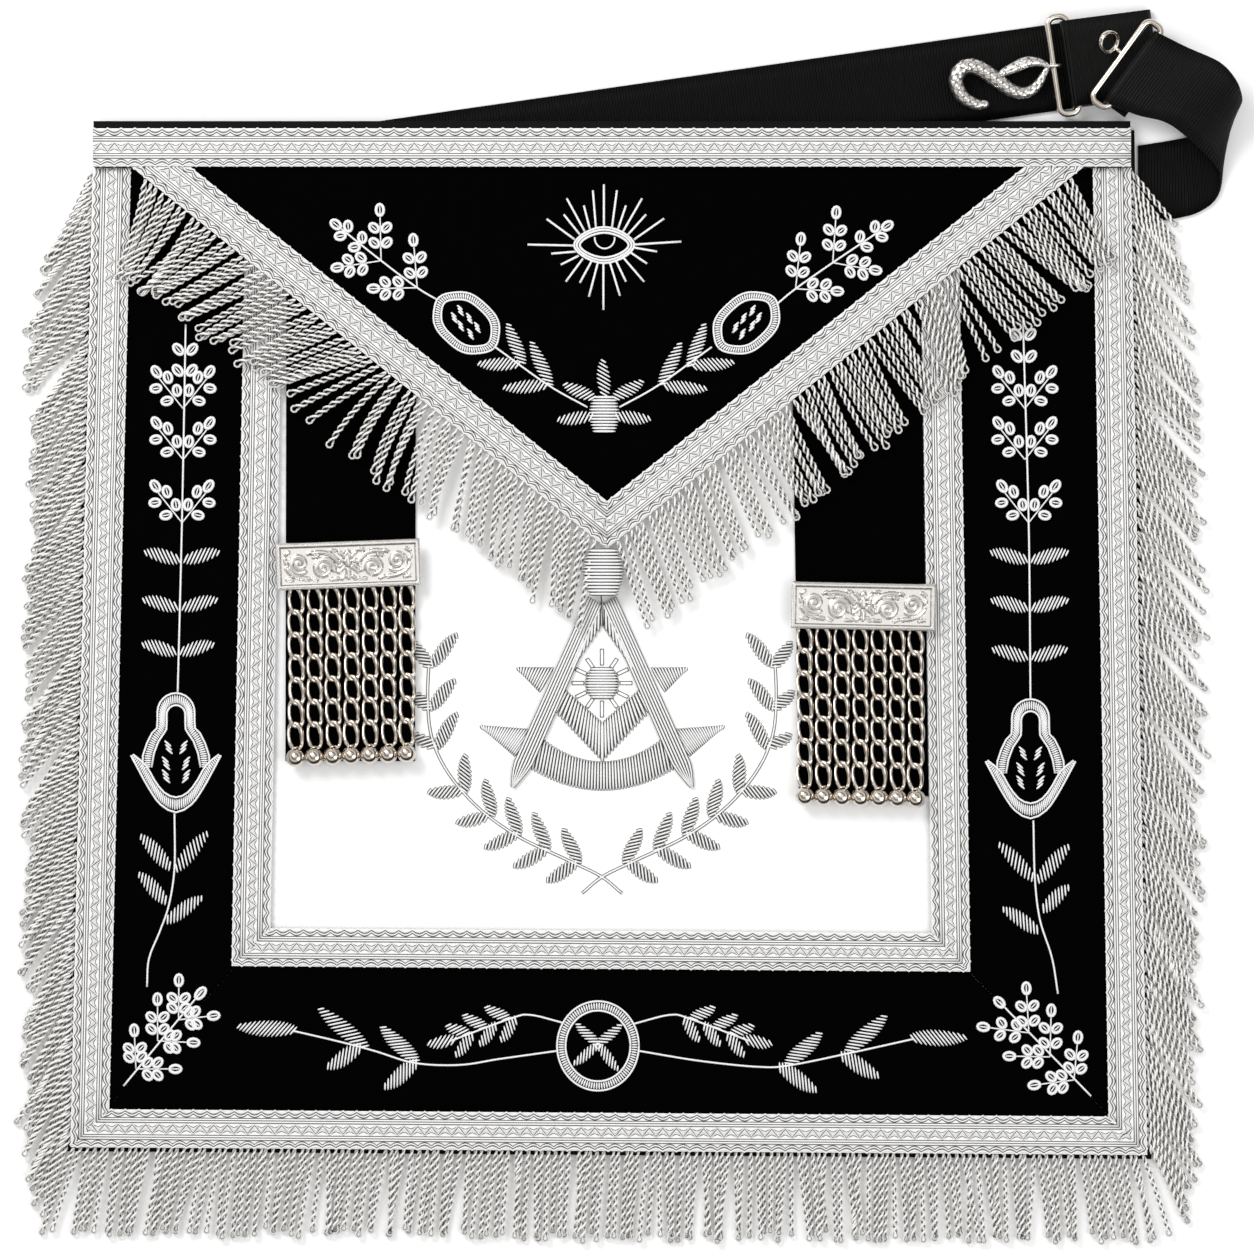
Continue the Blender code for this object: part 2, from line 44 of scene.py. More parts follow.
MM = 0.001
PIXEL = 0.383 * MM  # one photo pixel
CENTRE = (612, 640)  # the photo pixel at the apron's origin
PHOTO_SIDE = 1254  # pixels
BAND_MIDDLE, WREATH_MIDDLE = 600, 602  # photo columns that the mirrored leaves turn about

# Sizes shared with the solids, in metres
WIDTH, FOOT_WIDTH, HEIGHT = 0.3960, 0.4114, 0.3904
FOOT_SHIFT, FOOT_DROP = 0.0012, 0.0015
TAPE = 0.0145
PLY = 1.0 * MM
FACE_Z, PILE_Z, TAPE_Z, FLAP_Z, TOP_Z = 1.5 * MM, 2.8 * MM, 4.1 * MM, 5.4 * MM, 6.7 * MM
WEBBING = 0.0330
SLOPE = math.radians(8.2)


def at(px, py):
    """A photo pixel in the apron's plane, in metres."""
    return np.array([(px - CENTRE[0]) * PIXEL, (CENTRE[1] - py) * PIXEL])


def unit(v):
    v = np.asarray(v, float)
    return v / np.maximum(np.linalg.norm(v, axis=-1, keepdims=True), 1e-12)


# Materials


def node_group(name, inputs, outputs):
    """A shader group with its sockets, and its input and output nodes."""
    g = bpy.data.node_groups.new(name, "ShaderNodeTree")
    kinds = {"f": "NodeSocketFloat", "c": "NodeSocketColor"}
    for n, kind, value in inputs:
        s = g.interface.new_socket(n, in_out="INPUT", socket_type=kinds[kind])
        s.default_value = value
    for n, kind in outputs:
        g.interface.new_socket(n, in_out="OUTPUT", socket_type=kinds[kind])
    return g, g.nodes.new("NodeGroupInput"), g.nodes.new("NodeGroupOutput")


def add(tree, kind, **values):
    n = tree.nodes.new(kind)
    for k, v in values.items():
        if k in n.inputs:
            n.inputs[k].default_value = v
        else:
            setattr(n, k, v)
    return n


def math_node(tree, op, a, b=None):
    n = tree.nodes.new("ShaderNodeMath")
    n.operation = op
    for i, x in enumerate((a, b)):
        if x is None:
            continue
        if isinstance(x, (int, float)):
            n.inputs[i].default_value = x
        else:
            tree.links.new(x, n.inputs[i])
    return n.outputs[0]


def make_surface_group():
    """Two colours mixed by fine noise, with a matching roughness and bump height."""
    g, i, o = node_group(
        "noisy_surface",
        [("Low", "c", (0, 0, 0, 1)), ("High", "c", (1, 1, 1, 1)), ("Scale", "f", 800.0), ("Contrast", "f", 1.0),
         ("Rough", "f", 0.5), ("Rough Spread", "f", 0.1)],
        [("Color", "c"), ("Roughness", "f"), ("Height", "f")],
    )
    co = g.nodes.new("ShaderNodeTexCoord")
    noise = add(g, "ShaderNodeTexNoise", Detail=4.0, Roughness=0.6)
    broad = add(g, "ShaderNodeTexNoise", Detail=2.0)
    g.links.new(co.outputs["Object"], noise.inputs["Vector"])
    g.links.new(co.outputs["Object"], broad.inputs["Vector"])
    g.links.new(i.outputs["Scale"], noise.inputs["Scale"])
    g.links.new(math_node(g, "MULTIPLY", i.outputs["Scale"], 0.04), broad.inputs["Scale"])
    both = math_node(g, "ADD", math_node(g, "MULTIPLY", noise.outputs["Fac"], 0.7),
                     math_node(g, "MULTIPLY", broad.outputs["Fac"], 0.3))
    spread = math_node(g, "MULTIPLY", math_node(g, "SUBTRACT", both, 0.5), i.outputs["Contrast"])
    fac = math_node(g, "ADD", spread, 0.5)
    mix = add(g, "ShaderNodeMix", data_type="RGBA", clamp_factor=True)
    g.links.new(fac, mix.inputs[0])
    g.links.new(i.outputs["Low"], mix.inputs[6])
    g.links.new(i.outputs["High"], mix.inputs[7])
    g.links.new(mix.outputs[2], o.inputs["Color"])
    rough = math_node(g, "ADD", i.outputs["Rough"], math_node(g, "MULTIPLY", spread, i.outputs["Rough Spread"]))
    g.links.new(rough, o.inputs["Roughness"])
    g.links.new(both, o.inputs["Height"])
    return g


def make_thread_group():
    """Fine metal thread wound round a core: rings along the strand's own length, with painted shade that darkens it
    towards its two sides and in the grooves between the rings.
    """
    g, i, o = node_group(
        "wound_thread",
        [("Turns", "f", 1200.0), ("Slant", "f", 0.5), ("Depth", "f", 1.0), ("Painted Crevice Shade", "f", 0.3)],
        [("Height", "f"), ("Shade", "f")],
    )
    uv = g.nodes.new("ShaderNodeUVMap")
    sep = g.nodes.new("ShaderNodeSeparateXYZ")
    g.links.new(uv.outputs["UV"], sep.inputs[0])
    along = math_node(g, "MULTIPLY", sep.outputs[0], i.outputs["Turns"])
    round_it = math_node(g, "MULTIPLY", sep.outputs[1], i.outputs["Slant"])
    wave = math_node(g, "SINE", math_node(g, "ADD", along, math_node(g, "MULTIPLY", round_it, 2 * math.pi)))
    height = math_node(g, "MULTIPLY", math_node(g, "ADD", math_node(g, "MULTIPLY", wave, 0.5), 0.5),
                       i.outputs["Depth"])
    g.links.new(height, o.inputs["Height"])
    # painted shade: darker away from the thread's outward side, and darker in the grooves between its turns
    outward = math_node(g, "SINE", math_node(g, "MULTIPLY", sep.outputs[1], 2 * math.pi))
    inward = math_node(g, "SUBTRACT", 0.5, math_node(g, "MULTIPLY", outward, 0.5))
    dark = math_node(g, "MULTIPLY", math_node(g, "POWER", inward, 1.5), i.outputs["Painted Crevice Shade"])
    ridges = math_node(g, "ADD", 0.85, math_node(g, "MULTIPLY", height, 0.15))
    g.links.new(math_node(g, "MULTIPLY", ridges, math_node(g, "SUBTRACT", 1.0, dark)), o.inputs["Shade"])
    return g


SURFACE, THREAD = make_surface_group(), make_thread_group()


def material(name, low, high, scale, rough, spread=0.1, contrast=1.0, metal=0.0, bump=0.1, reach=0.1 * MM,
             thread=None, **constants):
    """A Principled surface fed by the shared groups. thread is (turns a metre, slant, depth, strength of painted
    crevice shade).
    """
    m = bpy.data.materials.new(name)
    m.use_nodes = True
    t = m.node_tree
    shader = t.nodes["Principled BSDF"]
    s = t.nodes.new("ShaderNodeGroup")
    s.node_tree = SURFACE
    for k, v in (("Low", (*low, 1)), ("High", (*high, 1)), ("Scale", scale), ("Contrast", contrast),
                 ("Rough", rough), ("Rough Spread", spread)):
        s.inputs[k].default_value = v
    colour, height = s.outputs["Color"], s.outputs["Height"]
    if thread:
        w = t.nodes.new("ShaderNodeGroup")
        w.node_tree = THREAD
        for k, v in zip(("Turns", "Slant", "Depth", "Painted Crevice Shade"), thread):
            w.inputs[k].default_value = v
        mix = add(t, "ShaderNodeMix", data_type="RGBA", blend_type="MULTIPLY")
        mix.inputs[0].default_value = 1.0
        t.links.new(colour, mix.inputs[6])
        t.links.new(w.outputs["Shade"], mix.inputs[7])
        colour = mix.outputs[2]
        height = math_node(t, "ADD", math_node(t, "MULTIPLY", height, 0.3), w.outputs["Height"])
    t.links.new(colour, shader.inputs["Base Color"])
    t.links.new(s.outputs["Roughness"], shader.inputs["Roughness"])
    b = add(t, "ShaderNodeBump", Strength=bump, Distance=reach)
    t.links.new(height, b.inputs["Height"])
    t.links.new(b.outputs["Normal"], shader.inputs["Normal"])
    shader.inputs["Metallic"].default_value = metal
    for k, v in constants.items():
        shader.inputs[k.replace("_", " ")].default_value = v
    return m


# the last number of each thread is how strongly painted shade darkens the thread's sides
LOOKS = {
    "lining": material("black_lining", (0.002,) * 3, (0.006,) * 3, 2500, 0.75, bump=0.4, Specular_IOR_Level=0.1),
    "leather": material("white_leather", (0.90, 0.90, 0.90), (0.97, 0.97, 0.97), 900, 0.5, bump=0.12,
                        reach=0.15 * MM, Coat_Weight=0.05),
    "pile": material("black_velvet", (0.0003,) * 3, (0.0016,) * 3, 3500, 1.0, bump=0.5, reach=0.2 * MM,
                     Specular_IOR_Level=0.0),
    "ground": material("tape_ground", (0.74, 0.735, 0.73), (0.93, 0.93, 0.93), 2500, 0.5, bump=0.6),
    "tape": material("tape_thread", (0.86, 0.86, 0.86), (0.98, 0.98, 0.98), 1500, 0.4, bump=0.5,
                     reach=0.08 * MM, thread=(9000.0, 1.0, 1.0, 0.45)),
    "cord": material("fringe_cord", (0.86, 0.835, 0.80), (1.0, 0.99, 0.975), 900, 0.4, bump=0.6,
                     reach=0.08 * MM, thread=(9000.0, 1.0, 1.0, 0.9)),
    "bullion": material("bullion", (0.84, 0.84, 0.84), (0.98, 0.98, 0.98), 900, 0.34, metal=0.1, bump=0.6,
                        reach=0.08 * MM, thread=(12000.0, 0.5, 1.0, 0.55)),
    # dark thread: painted shadow in the tape's gaps and under the emblem's stitches, and also the emblem's own dark
    # outlines
    "shade_thread": material("dark_thread_and_painted_shade", (0.05, 0.042, 0.035), (0.15, 0.135, 0.12), 900, 0.5, bump=0.5,
                             thread=(12000.0, 0.5, 1.0, 0.3)),
    "webbing": material("black_webbing", (0.0008,) * 3, (0.003,) * 3, 2200, 0.36, bump=1.0, reach=0.6 * MM,
                        thread=(5500.0, 0.0, 1.0, 0.0), Specular_IOR_Level=0.20),
    "nickel": material("nickel_plate", (0.54, 0.48, 0.42), (0.86, 0.81, 0.75), 110, 0.13, metal=1.0, bump=0.04),
    "cast": material("cast_silver", (0.76, 0.745, 0.73), (0.95, 0.94, 0.92), 500, 0.27, spread=0.2, metal=1.0,
                     bump=0.08),
    "dark_cast": material("cast_hollow", (0.13, 0.12, 0.11), (0.27, 0.255, 0.24), 600, 0.5, metal=0.6, bump=0.2),
}


# Meshes from arrays
SHADOW_LIP = 0.25 * MM  # how far the painted shadow under a stitch shows at each side


class Form:
    """Vertices, faces, UVs and material numbers gathered from many small shapes."""

    def __init__(self):
        self.v, self.f, self.uv, self.m, self.count = [], [], [], [], 0
        self.shadow = False  # painted shadow: a dark strip under every stitch shows at both its sides

    def add(self, verts, quads, uv=None, mat=0):
        verts = np.asarray(verts, float).reshape(-1, 3)
        quads = np.asarray(quads, int)
        self.v.append(verts)
        self.f.append(quads + self.count)
        self.m.append(np.full(len(quads), mat))
        self.uv.append(np.zeros((len(quads), 4, 2)) if uv is None else uv)
        self.count += len(verts)

    def tube(self, path, r, sides=6, up=(0, 0, 1), closed=False, flat=1.0, mat=0, phase=0.5, ends=True):
        """A round wire along a path. r is one radius or one for each point, flat squashes it along up."""
        path = np.asarray(path, float)
        n = len(path)
        r = np.broadcast_to(np.asarray(r, float), n)
        t = np.roll(path, -1, 0) - np.roll(path, 1, 0) if closed else np.gradient(path, axis=0)
        t = unit(t)
        side = unit(np.cross(t, np.broadcast_to(np.asarray(up, float), t.shape)))
        rise = np.cross(side, t)
        a = 2 * np.pi * (np.arange(sides) + phase) / sides
        ring = (side[:, None] * np.cos(a)[None, :, None] + rise[:, None] * (flat * np.sin(a))[None, :, None])
        verts = path[:, None] + ring * r[:, None, None]
        rows = n if closed else n - 1
        i, j = np.meshgrid(np.arange(rows), np.arange(sides), indexing="ij")
        i2, j2 = (i + 1) % n, (j + 1) % sides
        quads = np.stack([i * sides + j, i * sides + j2, i2 * sides + j2, i2 * sides + j], -1).reshape(-1, 4)
        step = np.linalg.norm(np.diff(path, axis=0, append=path[:1] if closed else path[-1:]), axis=1)
        run = np.concatenate([[0], np.cumsum(step)])
        u0, u1 = run[i], run[i + 1]
        w0, w1 = (j + phase) / sides, (j + 1 + phase) / sides
        uv = np.stack([np.stack([u0, w0], -1), np.stack([u0, w1], -1), np.stack([u1, w1], -1),
                       np.stack([u1, w0], -1)], 2).reshape(-1, 4, 2)
        self.add(verts, quads, uv, mat)
        if not closed and ends:
            base = self.count - n * sides
            for row, flip in ((0, True), (n - 1, False)):
                c = self.count
                self.v.append(path[row][None])
                self.count += 1
                k = np.arange(sides)
                k1 = (k + 1) % sides
                cap = np.stack([base + row * sides + k, base + row * sides + k1, np.full(sides, c),
                                np.full(sides, c)], 1)
                self.f.append(cap[:, [1, 0, 2, 3]] if flip else cap)
                self.m.append(np.full(sides, mat))
                self.uv.append(np.zeros((sides, 4, 2)))

    def grid(self, points, mat=0, wrap=False, uv=None):
        """A sheet over an array of points (rows, columns, 3)."""
        rows, cols = points.shape[:2]
        i, j = np.meshgrid(np.arange(rows - 1), np.arange(cols if wrap else cols - 1), indexing="ij")
        j2 = (j + 1) % cols
        quads = np.stack([i * cols + j, i * cols + j2, (i + 1) * cols + j2, (i + 1) * cols + j], -1).reshape(-1, 4)
        self.add(points.reshape(-1, 3), quads, uv, mat)

    def stitch(self, a, b, r, z, sides):
        """One laid stitch of bullion between two points in plan, on a surface at height z."""
        a, b = np.asarray(a, float), np.asarray(b, float)
        s = np.array([0.0, 0.12, 0.38, 0.62, 0.88, 1.0])
        swell = np.array([0.35, 0.85, 1.0, 1.0, 0.85, 0.35])
        xy = a[None] + (b - a)[None] * s[:, None]
        h = z + r * swell * 0.7
        self.laid(np.column_stack([xy, h]), r * swell, sides)

    def laid(self, path, r, sides, mat=0):
        """A thread on the cloth, with a dark strip under it as painted shadow where the piece has them."""
        self.tube(path, r, sides, mat=mat)
        if self.shadow:
            low = np.array(path, float)
            low[:, 2] -= np.broadcast_to(r, len(low)) * 0.45
            self.tube(low, np.asarray(r) + SHADOW_LIP, 4, mat=1, flat=0.3, phase=0.0, ends=False)

    def build(self, name, *looks):
        v = np.concatenate(self.v)
        f = np.concatenate(self.f)
        tri = f[:, 2] == f[:, 3]
        m = np.concatenate(self.m)
        uv = np.concatenate(self.uv)
        totals = np.where(tri, 3, 4)
        starts = np.concatenate([[0], np.cumsum(totals)[:-1]])
        keep = np.ones(f.shape, bool)
        keep[tri, 3] = False
        mesh = bpy.data.meshes.new(name)
        mesh.vertices.add(len(v))
        mesh.vertices.foreach_set("co", v.ravel())
        mesh.loops.add(int(totals.sum()))
        mesh.loops.foreach_set("vertex_index", f[keep].astype(np.int32))
        mesh.polygons.add(len(f))
        mesh.polygons.foreach_set("loop_start", starts.astype(np.int32))
        mesh.polygons.foreach_set("loop_total", totals.astype(np.int32))
        mesh.polygons.foreach_set("material_index", m.astype(np.int32))
        mesh.polygons.foreach_set("use_smooth", np.full(len(f), True))
        layer = mesh.uv_layers.new(name="UVMap")
        layer.data.foreach_set("uv", uv[keep].ravel().astype(np.float32))
        mesh.update()
        mesh.validate()
        for look in looks:
            mesh.materials.append(LOOKS[look])
        obj = bpy.data.objects.new(name, mesh)
        bpy.context.scene.collection.objects.link(obj)
        return obj


def dress(obj, *nodes, body="apron"):
    """The piece rides the apron and stands for these solids."""
    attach(obj, body)
    if nodes:
        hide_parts(*nodes)
    return obj


# Plan geometry


def meet(p, d, q, e):
    return p + d * ((q[0] - p[0]) * e[1] - (q[1] - p[1]) * e[0]) / (d[0] * e[1] - d[1] * e[0])


def inset(quad, by, top):
    """A four-cornered outline drawn in on its left, foot and right, and cut at a height."""
    tl, bl, br, tr = (np.asarray(p, float) for p in quad)

    def moved(a, b):
        d = unit(b - a)
        return a + np.array([-d[1], d[0]]) * by, d

    left, foot, right = moved(tl, bl), moved(bl, br), moved(br, tr)
    level = (np.array([0.0, top]), np.array([1.0, 0.0]))
    return meet(*left, *level), meet(*left, *foot), meet(*foot, *right), meet(*right, *level)


TOP = HEIGHT / 2
UNDER_HEM = TOP - TAPE - 0.3 * MM
OUTER = ((-WIDTH / 2, TOP), (-FOOT_WIDTH / 2 - FOOT_SHIFT, -TOP + FOOT_DROP),
         (FOOT_WIDTH / 2 - FOOT_SHIFT, -TOP - FOOT_DROP), (WIDTH / 2, TOP))
INNER_SHARES = ((-0.3528, 0.4623), (-0.3669, -0.3189), (0.3457, -0.3245), (0.3336, 0.4623))
INNER = tuple((x * WIDTH, y * HEIGHT) for x, y in INNER_SHARES)
TIP = np.array([-0.0048 * WIDTH, TOP - 0.1602])
SHOULDERS = [np.array([s * WIDTH, UNDER_HEM]) for s in (-0.4624, 0.4540)]


def point(by):
    """The flap's left shoulder, tip and right shoulder, drawn in from its edge."""
    d1, d2 = unit(TIP - SHOULDERS[0]), unit(SHOULDERS[1] - TIP)
    a = SHOULDERS[0] + np.array([-d1[1], d1[0]]) * by
    b = TIP + np.array([-d2[1], d2[0]]) * by
    level = (np.array([0.0, UNDER_HEM]), np.array([1.0, 0.0]))
    return meet(a, d1, *level), meet(a, d1, b, d2), meet(b, d2, *level)


def slab(form, low, high, z, thick, cell=9 * MM, wave=0.12 * MM, seed=0.0):
    """A closed ply between two edges in plan, its face gently uneven and rounded off at its rim."""
    low, high = np.asarray(low, float), np.asarray(high, float)

    def along(line, s):
        d = np.concatenate([[0], np.cumsum(np.linalg.norm(np.diff(line, axis=0), axis=1))])
        return np.column_stack([np.interp(s * d[-1], d, line[:, k]) for k in range(2)])

    wide = max(np.linalg.norm(low[-1] - low[0]), np.linalg.norm(high[-1] - high[0]))
    tall = max(np.linalg.norm(high[0] - low[0]), np.linalg.norm(high[-1] - low[-1]))
    nu, nv = max(3, int(wide / cell)), max(3, int(tall / cell))
    s = np.linspace(0, 1, nu + 1)
    s = np.unique(np.concatenate([s, [0.3 * MM / wide, 1 - 0.3 * MM / wide]]))
    t = np.unique(np.concatenate([np.linspace(0, 1, nv + 1), [0.3 * MM / tall, 1 - 0.3 * MM / tall]]))
    a, b = along(low, s), along(high, s)
    xy = a[:, None] + (b - a)[:, None] * t[None, :, None]
    x, y = xy[..., 0], xy[..., 1]
    bumpy = (np.sin(x * 31 + seed) * np.cos(y * 37 - seed) + 0.6 * np.sin((x - y) * 83 + 2 * seed)) * 0.5
    rim = np.minimum(np.minimum(s, 1 - s)[:, None] * wide, np.minimum(t, 1 - t)[None, :] * tall)
    edge = np.clip(rim / (0.3 * MM), 0, 1)
    top = z + thick * (0.72 + 0.28 * edge) + wave * bumpy * edge - wave
    under = np.full_like(top, z)
    form.grid(np.dstack([xy, top]))
    form.grid(np.dstack([xy, under])[::-1])
    for edge_top, edge_low in (
        (np.dstack([xy, top])[:, 0], np.dstack([xy, under])[:, 0]),
        (np.dstack([xy, under])[:, -1], np.dstack([xy, top])[:, -1]),
        (np.dstack([xy, under])[0], np.dstack([xy, top])[0]),
        (np.dstack([xy, top])[-1], np.dstack([xy, under])[-1]),
    ):
        form.grid(np.stack([edge_low, edge_top]))


def weld(obj):
    """Joins the vertices that meet, so that a sheet is closed."""
    bm = bmesh.new()
    bm.from_mesh(obj.data)
    bmesh.ops.remove_doubles(bm, verts=bm.verts, dist=0.01 * MM)
    bm.to_mesh(obj.data)
    bm.free()
    return obj


def cloth(name, low, high, z, look, node, flat, thick=PLY, **more):
    form = Form()
    slab(form, low, high, z, thick, **more)
    obj = dress(weld(form.build(name, look)), node)
    return obj


# Cloth plies
lip = inset(OUTER, -2 * MM, TOP)
slope = np.array([math.cos(SLOPE), math.sin(SLOPE)])
across = np.array([math.sin(SLOPE), -math.cos(SLOPE)])
strap_mid = np.array([-0.2086 * WIDTH, 0.4685 * HEIGHT])
low_edge = strap_mid + across * (WEBBING / 2 + 0.3 * MM)
cut_left = meet(low_edge, slope, lip[0], unit(lip[1] - lip[0]))
cut_top = meet(low_edge, slope, np.array([0, TOP]), np.array([1.0, 0]))
cloth("lining_cloth", [lip[1], lip[2]], [cut_left, cut_top, lip[3]], 0.0, "lining", "backing", (0.416, 0.394),
      thick=1.2 * MM, wave=0.0)
cloth("leather_face", [OUTER[1], OUTER[2]], [OUTER[0], OUTER[3]], FACE_Z, "leather", "panel", (0.412, 0.393))
v_out, v_in = inset(OUTER, 4.8 * MM, UNDER_HEM), inset(INNER, TAPE - 0.6 * MM, UNDER_HEM)
seam = 0.04 * MM


def push(p, q):
    return p + unit(q - p) * seam


cloth("velvet_left_pile", [v_out[0], push(v_out[1], v_out[0])], [v_in[0], push(v_in[1], v_in[0])], PILE_Z, "pile",
      "velvet_left", (0.37, 0.077))
cloth("velvet_bottom_pile", [push(v_out[1], v_out[2]), push(v_out[2], v_out[1])],
      [push(v_in[1], v_in[2]), push(v_in[2], v_in[1])], PILE_Z, "pile", "velvet_bottom", (0.402, 0.082), seed=2.0)
cloth("velvet_right_pile", [push(v_out[2], v_out[3]), v_out[3]], [push(v_in[2], v_in[3]), v_in[3]], PILE_Z, "pile",
      "velvet_right", (0.373, 0.082), seed=4.0)
# columns: corner of the inner tape, way inwards, height of the foot, leather seen beside its foot and its head in mm
TABS = {"left": (0, 1, -0.1186, 4.5, 1.2), "right": (3, -1, -0.1529, 0.3, 0.3)}
for side, (corner, hand, foot, *strips) in TABS.items():
    ends = [inset(INNER, TAPE + strip * MM, y * HEIGHT)[corner] for y, strip in zip((foot, 0.40), strips)]
    far = [p + np.array([hand * 49.6 * MM, 0]) for p in ends]
    cloth(f"tab_{side}_pile", [ends[0], far[0]] if hand > 0 else [far[0], ends[0]],
          [ends[1], far[1]] if hand > 0 else [far[1], ends[1]], PILE_Z, "pile", "tab_" + side, (0.0545, 0.217),
          seed=6.0)
f_edge = point(4.8 * MM)
narrow = 0.4 * MM
cloth("flap_pile", [f_edge[1] - [narrow, 0], f_edge[1] + [narrow, 0]], [f_edge[0], f_edge[2]], FLAP_Z, "pile",
      "flap", (0.348, 0.140), seed=1.0)
cloth("hem_binding", [(-WIDTH / 2, TOP - TAPE), (WIDTH / 2, TOP - TAPE)],
      [(-WIDTH / 2, TOP + 3 * MM), (WIDTH / 2, TOP + 3 * MM)], PILE_Z, "lining", "hem", (0.397, 0.018),
      thick=3.6 * MM, cell=2 * MM)

# Silver tape: a pale ground with light threads in the tape's pattern and thin dark threads beside them, painted
# shadow in the gaps between the light ones. Columns: place across the tape as a share of its width, wave height as a
# share, phase in periods, thread radius in mm, shape, look.
PITCH = 5.2 * MM
LIGHT, SHADOW_LINE = 1, 2
THREADS = (
    (0.035, 0.035, 0.00, 0.40, "scallop", LIGHT),
    (0.078, 0.042, 0.00, 0.16, "scallop", SHADOW_LINE),
    (0.112, 0.044, 0.00, 0.34, "scallop", LIGHT),
    (0.148, 0.044, 0.00, 0.15, "scallop", SHADOW_LINE),
    (0.210, 0.000, 0.00, 0.16, "line", SHADOW_LINE),
    (0.242, 0.000, 0.00, 0.34, "line", LIGHT),
    (0.274, 0.000, 0.00, 0.13, "line", SHADOW_LINE),
    (0.306, 0.000, 0.00, 0.34, "line", LIGHT),
    (0.338, 0.000, 0.00, 0.16, "line", SHADOW_LINE),
    (0.500, 0.108, 0.00, 0.17, "zigzag", SHADOW_LINE),
    (0.448, 0.082, 0.00, 0.32, "zigzag", LIGHT),
    (0.552, 0.082, 0.00, 0.32, "zigzag", LIGHT),
    (0.418, 0.040, 0.00, 0.13, "zigzag", SHADOW_LINE),
    (0.582, 0.040, 0.00, 0.13, "zigzag", SHADOW_LINE),
    (0.662, 0.000, 0.00, 0.16, "line", SHADOW_LINE),
    (0.694, 0.000, 0.00, 0.34, "line", LIGHT),
    (0.726, 0.000, 0.00, 0.13, "line", SHADOW_LINE),
    (0.758, 0.000, 0.00, 0.34, "line", LIGHT),
    (0.790, 0.000, 0.00, 0.16, "line", SHADOW_LINE),
    (0.852, -0.044, 0.50, 0.15, "scallop", SHADOW_LINE),
    (0.888, -0.044, 0.50, 0.34, "scallop", LIGHT),
    (0.922, -0.042, 0.50, 0.16, "scallop", SHADOW_LINE),
    (0.965, -0.035, 0.50, 0.40, "scallop", LIGHT),
)


def tape(form, outer_a, outer_b, inner_a, inner_b, z):
    """One straight run of tape between its outer and inner edge, its threads cut at the ends' own slants."""
    oa, ob, ia, ib = (np.asarray(p, float) for p in (outer_a, outer_b, inner_a, inner_b))
    slab(form, [oa, ob] if np.cross(ob - oa, ia - oa) > 0 else [ob, oa],
         [ia, ib] if np.cross(ob - oa, ia - oa) > 0 else [ib, ia], z, 0.62 * MM, cell=6 * MM, wave=0.0)
    d = unit(ob - oa)
    n = np.array([-d[1], d[0]]) * np.sign(np.cross(d, ia - oa))
    width = abs(np.cross(d, ia - oa))
    for place, height, phase, r, shape, look in THREADS:
        a, b = oa + (ia - oa) * place, ob + (ib - ob) * place
        length = np.linalg.norm(b - a)
        first = np.dot(a, d) / PITCH + phase
        if shape == "line":
            s = np.linspace(0, length, max(2, int(length / (12 * MM))))
            off = np.zeros_like(s)
        else:
            per = {"zigzag": 2, "scallop": 4}[shape]
            s = np.arange((-first * per % 1) / per * PITCH, length, PITCH / per)
            s = np.concatenate([[0.1 * MM], s[(s > 0.2 * MM) & (s < length - 0.2 * MM)], [length - 0.1 * MM]])
            u = first + s / PITCH
            wave = 2 * np.abs(2 * (u % 1) - 1) - 1 if shape == "zigzag" else np.abs(np.sin(np.pi * u)) * 2 - 1
            off = wave * height
        xy = a + np.outer(s, d) + np.outer(off * width, n)
        lift = z + 0.62 * MM + r * MM * (0.25 if look == LIGHT else 0.5)
        form.tube(np.column_stack([xy, np.full(len(s), lift)]), r * MM, 4 if shape != "line" else 6, phase=0.0,
                  flat=0.85, mat=look)


def lay_tape(name, node, runs, z):
    form = Form()
    for run in runs:
        tape(form, *run, z)
    return dress(form.build(name, "ground", "tape", "shade_thread"), node)


for name, node, quad in (("outer_tape", "outer_braid", OUTER), ("inner_tape", "inner_braid", INNER)):
    o, i = inset(quad, 0, UNDER_HEM), inset(quad, TAPE, UNDER_HEM)
    lay_tape(name, node, [(o[k], o[k + 1], i[k], i[k + 1]) for k in range(3)], TAPE_Z)
lay_tape("top_tape", "top_braid", [((-WIDTH / 2, TOP), (WIDTH / 2, TOP), (-WIDTH / 2, TOP - TAPE),
                                    (WIDTH / 2, TOP - TAPE))], TOP_Z)
o, i = point(0), point(0.97 * TAPE)
lay_tape("flap_tape", "flap_braid", [(o[0], o[1], i[0], i[1]), (o[1], o[2], i[1], i[2])], TOP_Z)


# Fringe of twisted cords, each one thread doubled on itself with a loop at its end
CORD_LONG, CORD_PLY, CORD_TWIST, CORD_TURN = 33 * MM, 0.47 * MM, 0.84 * MM, 6.4 * MM


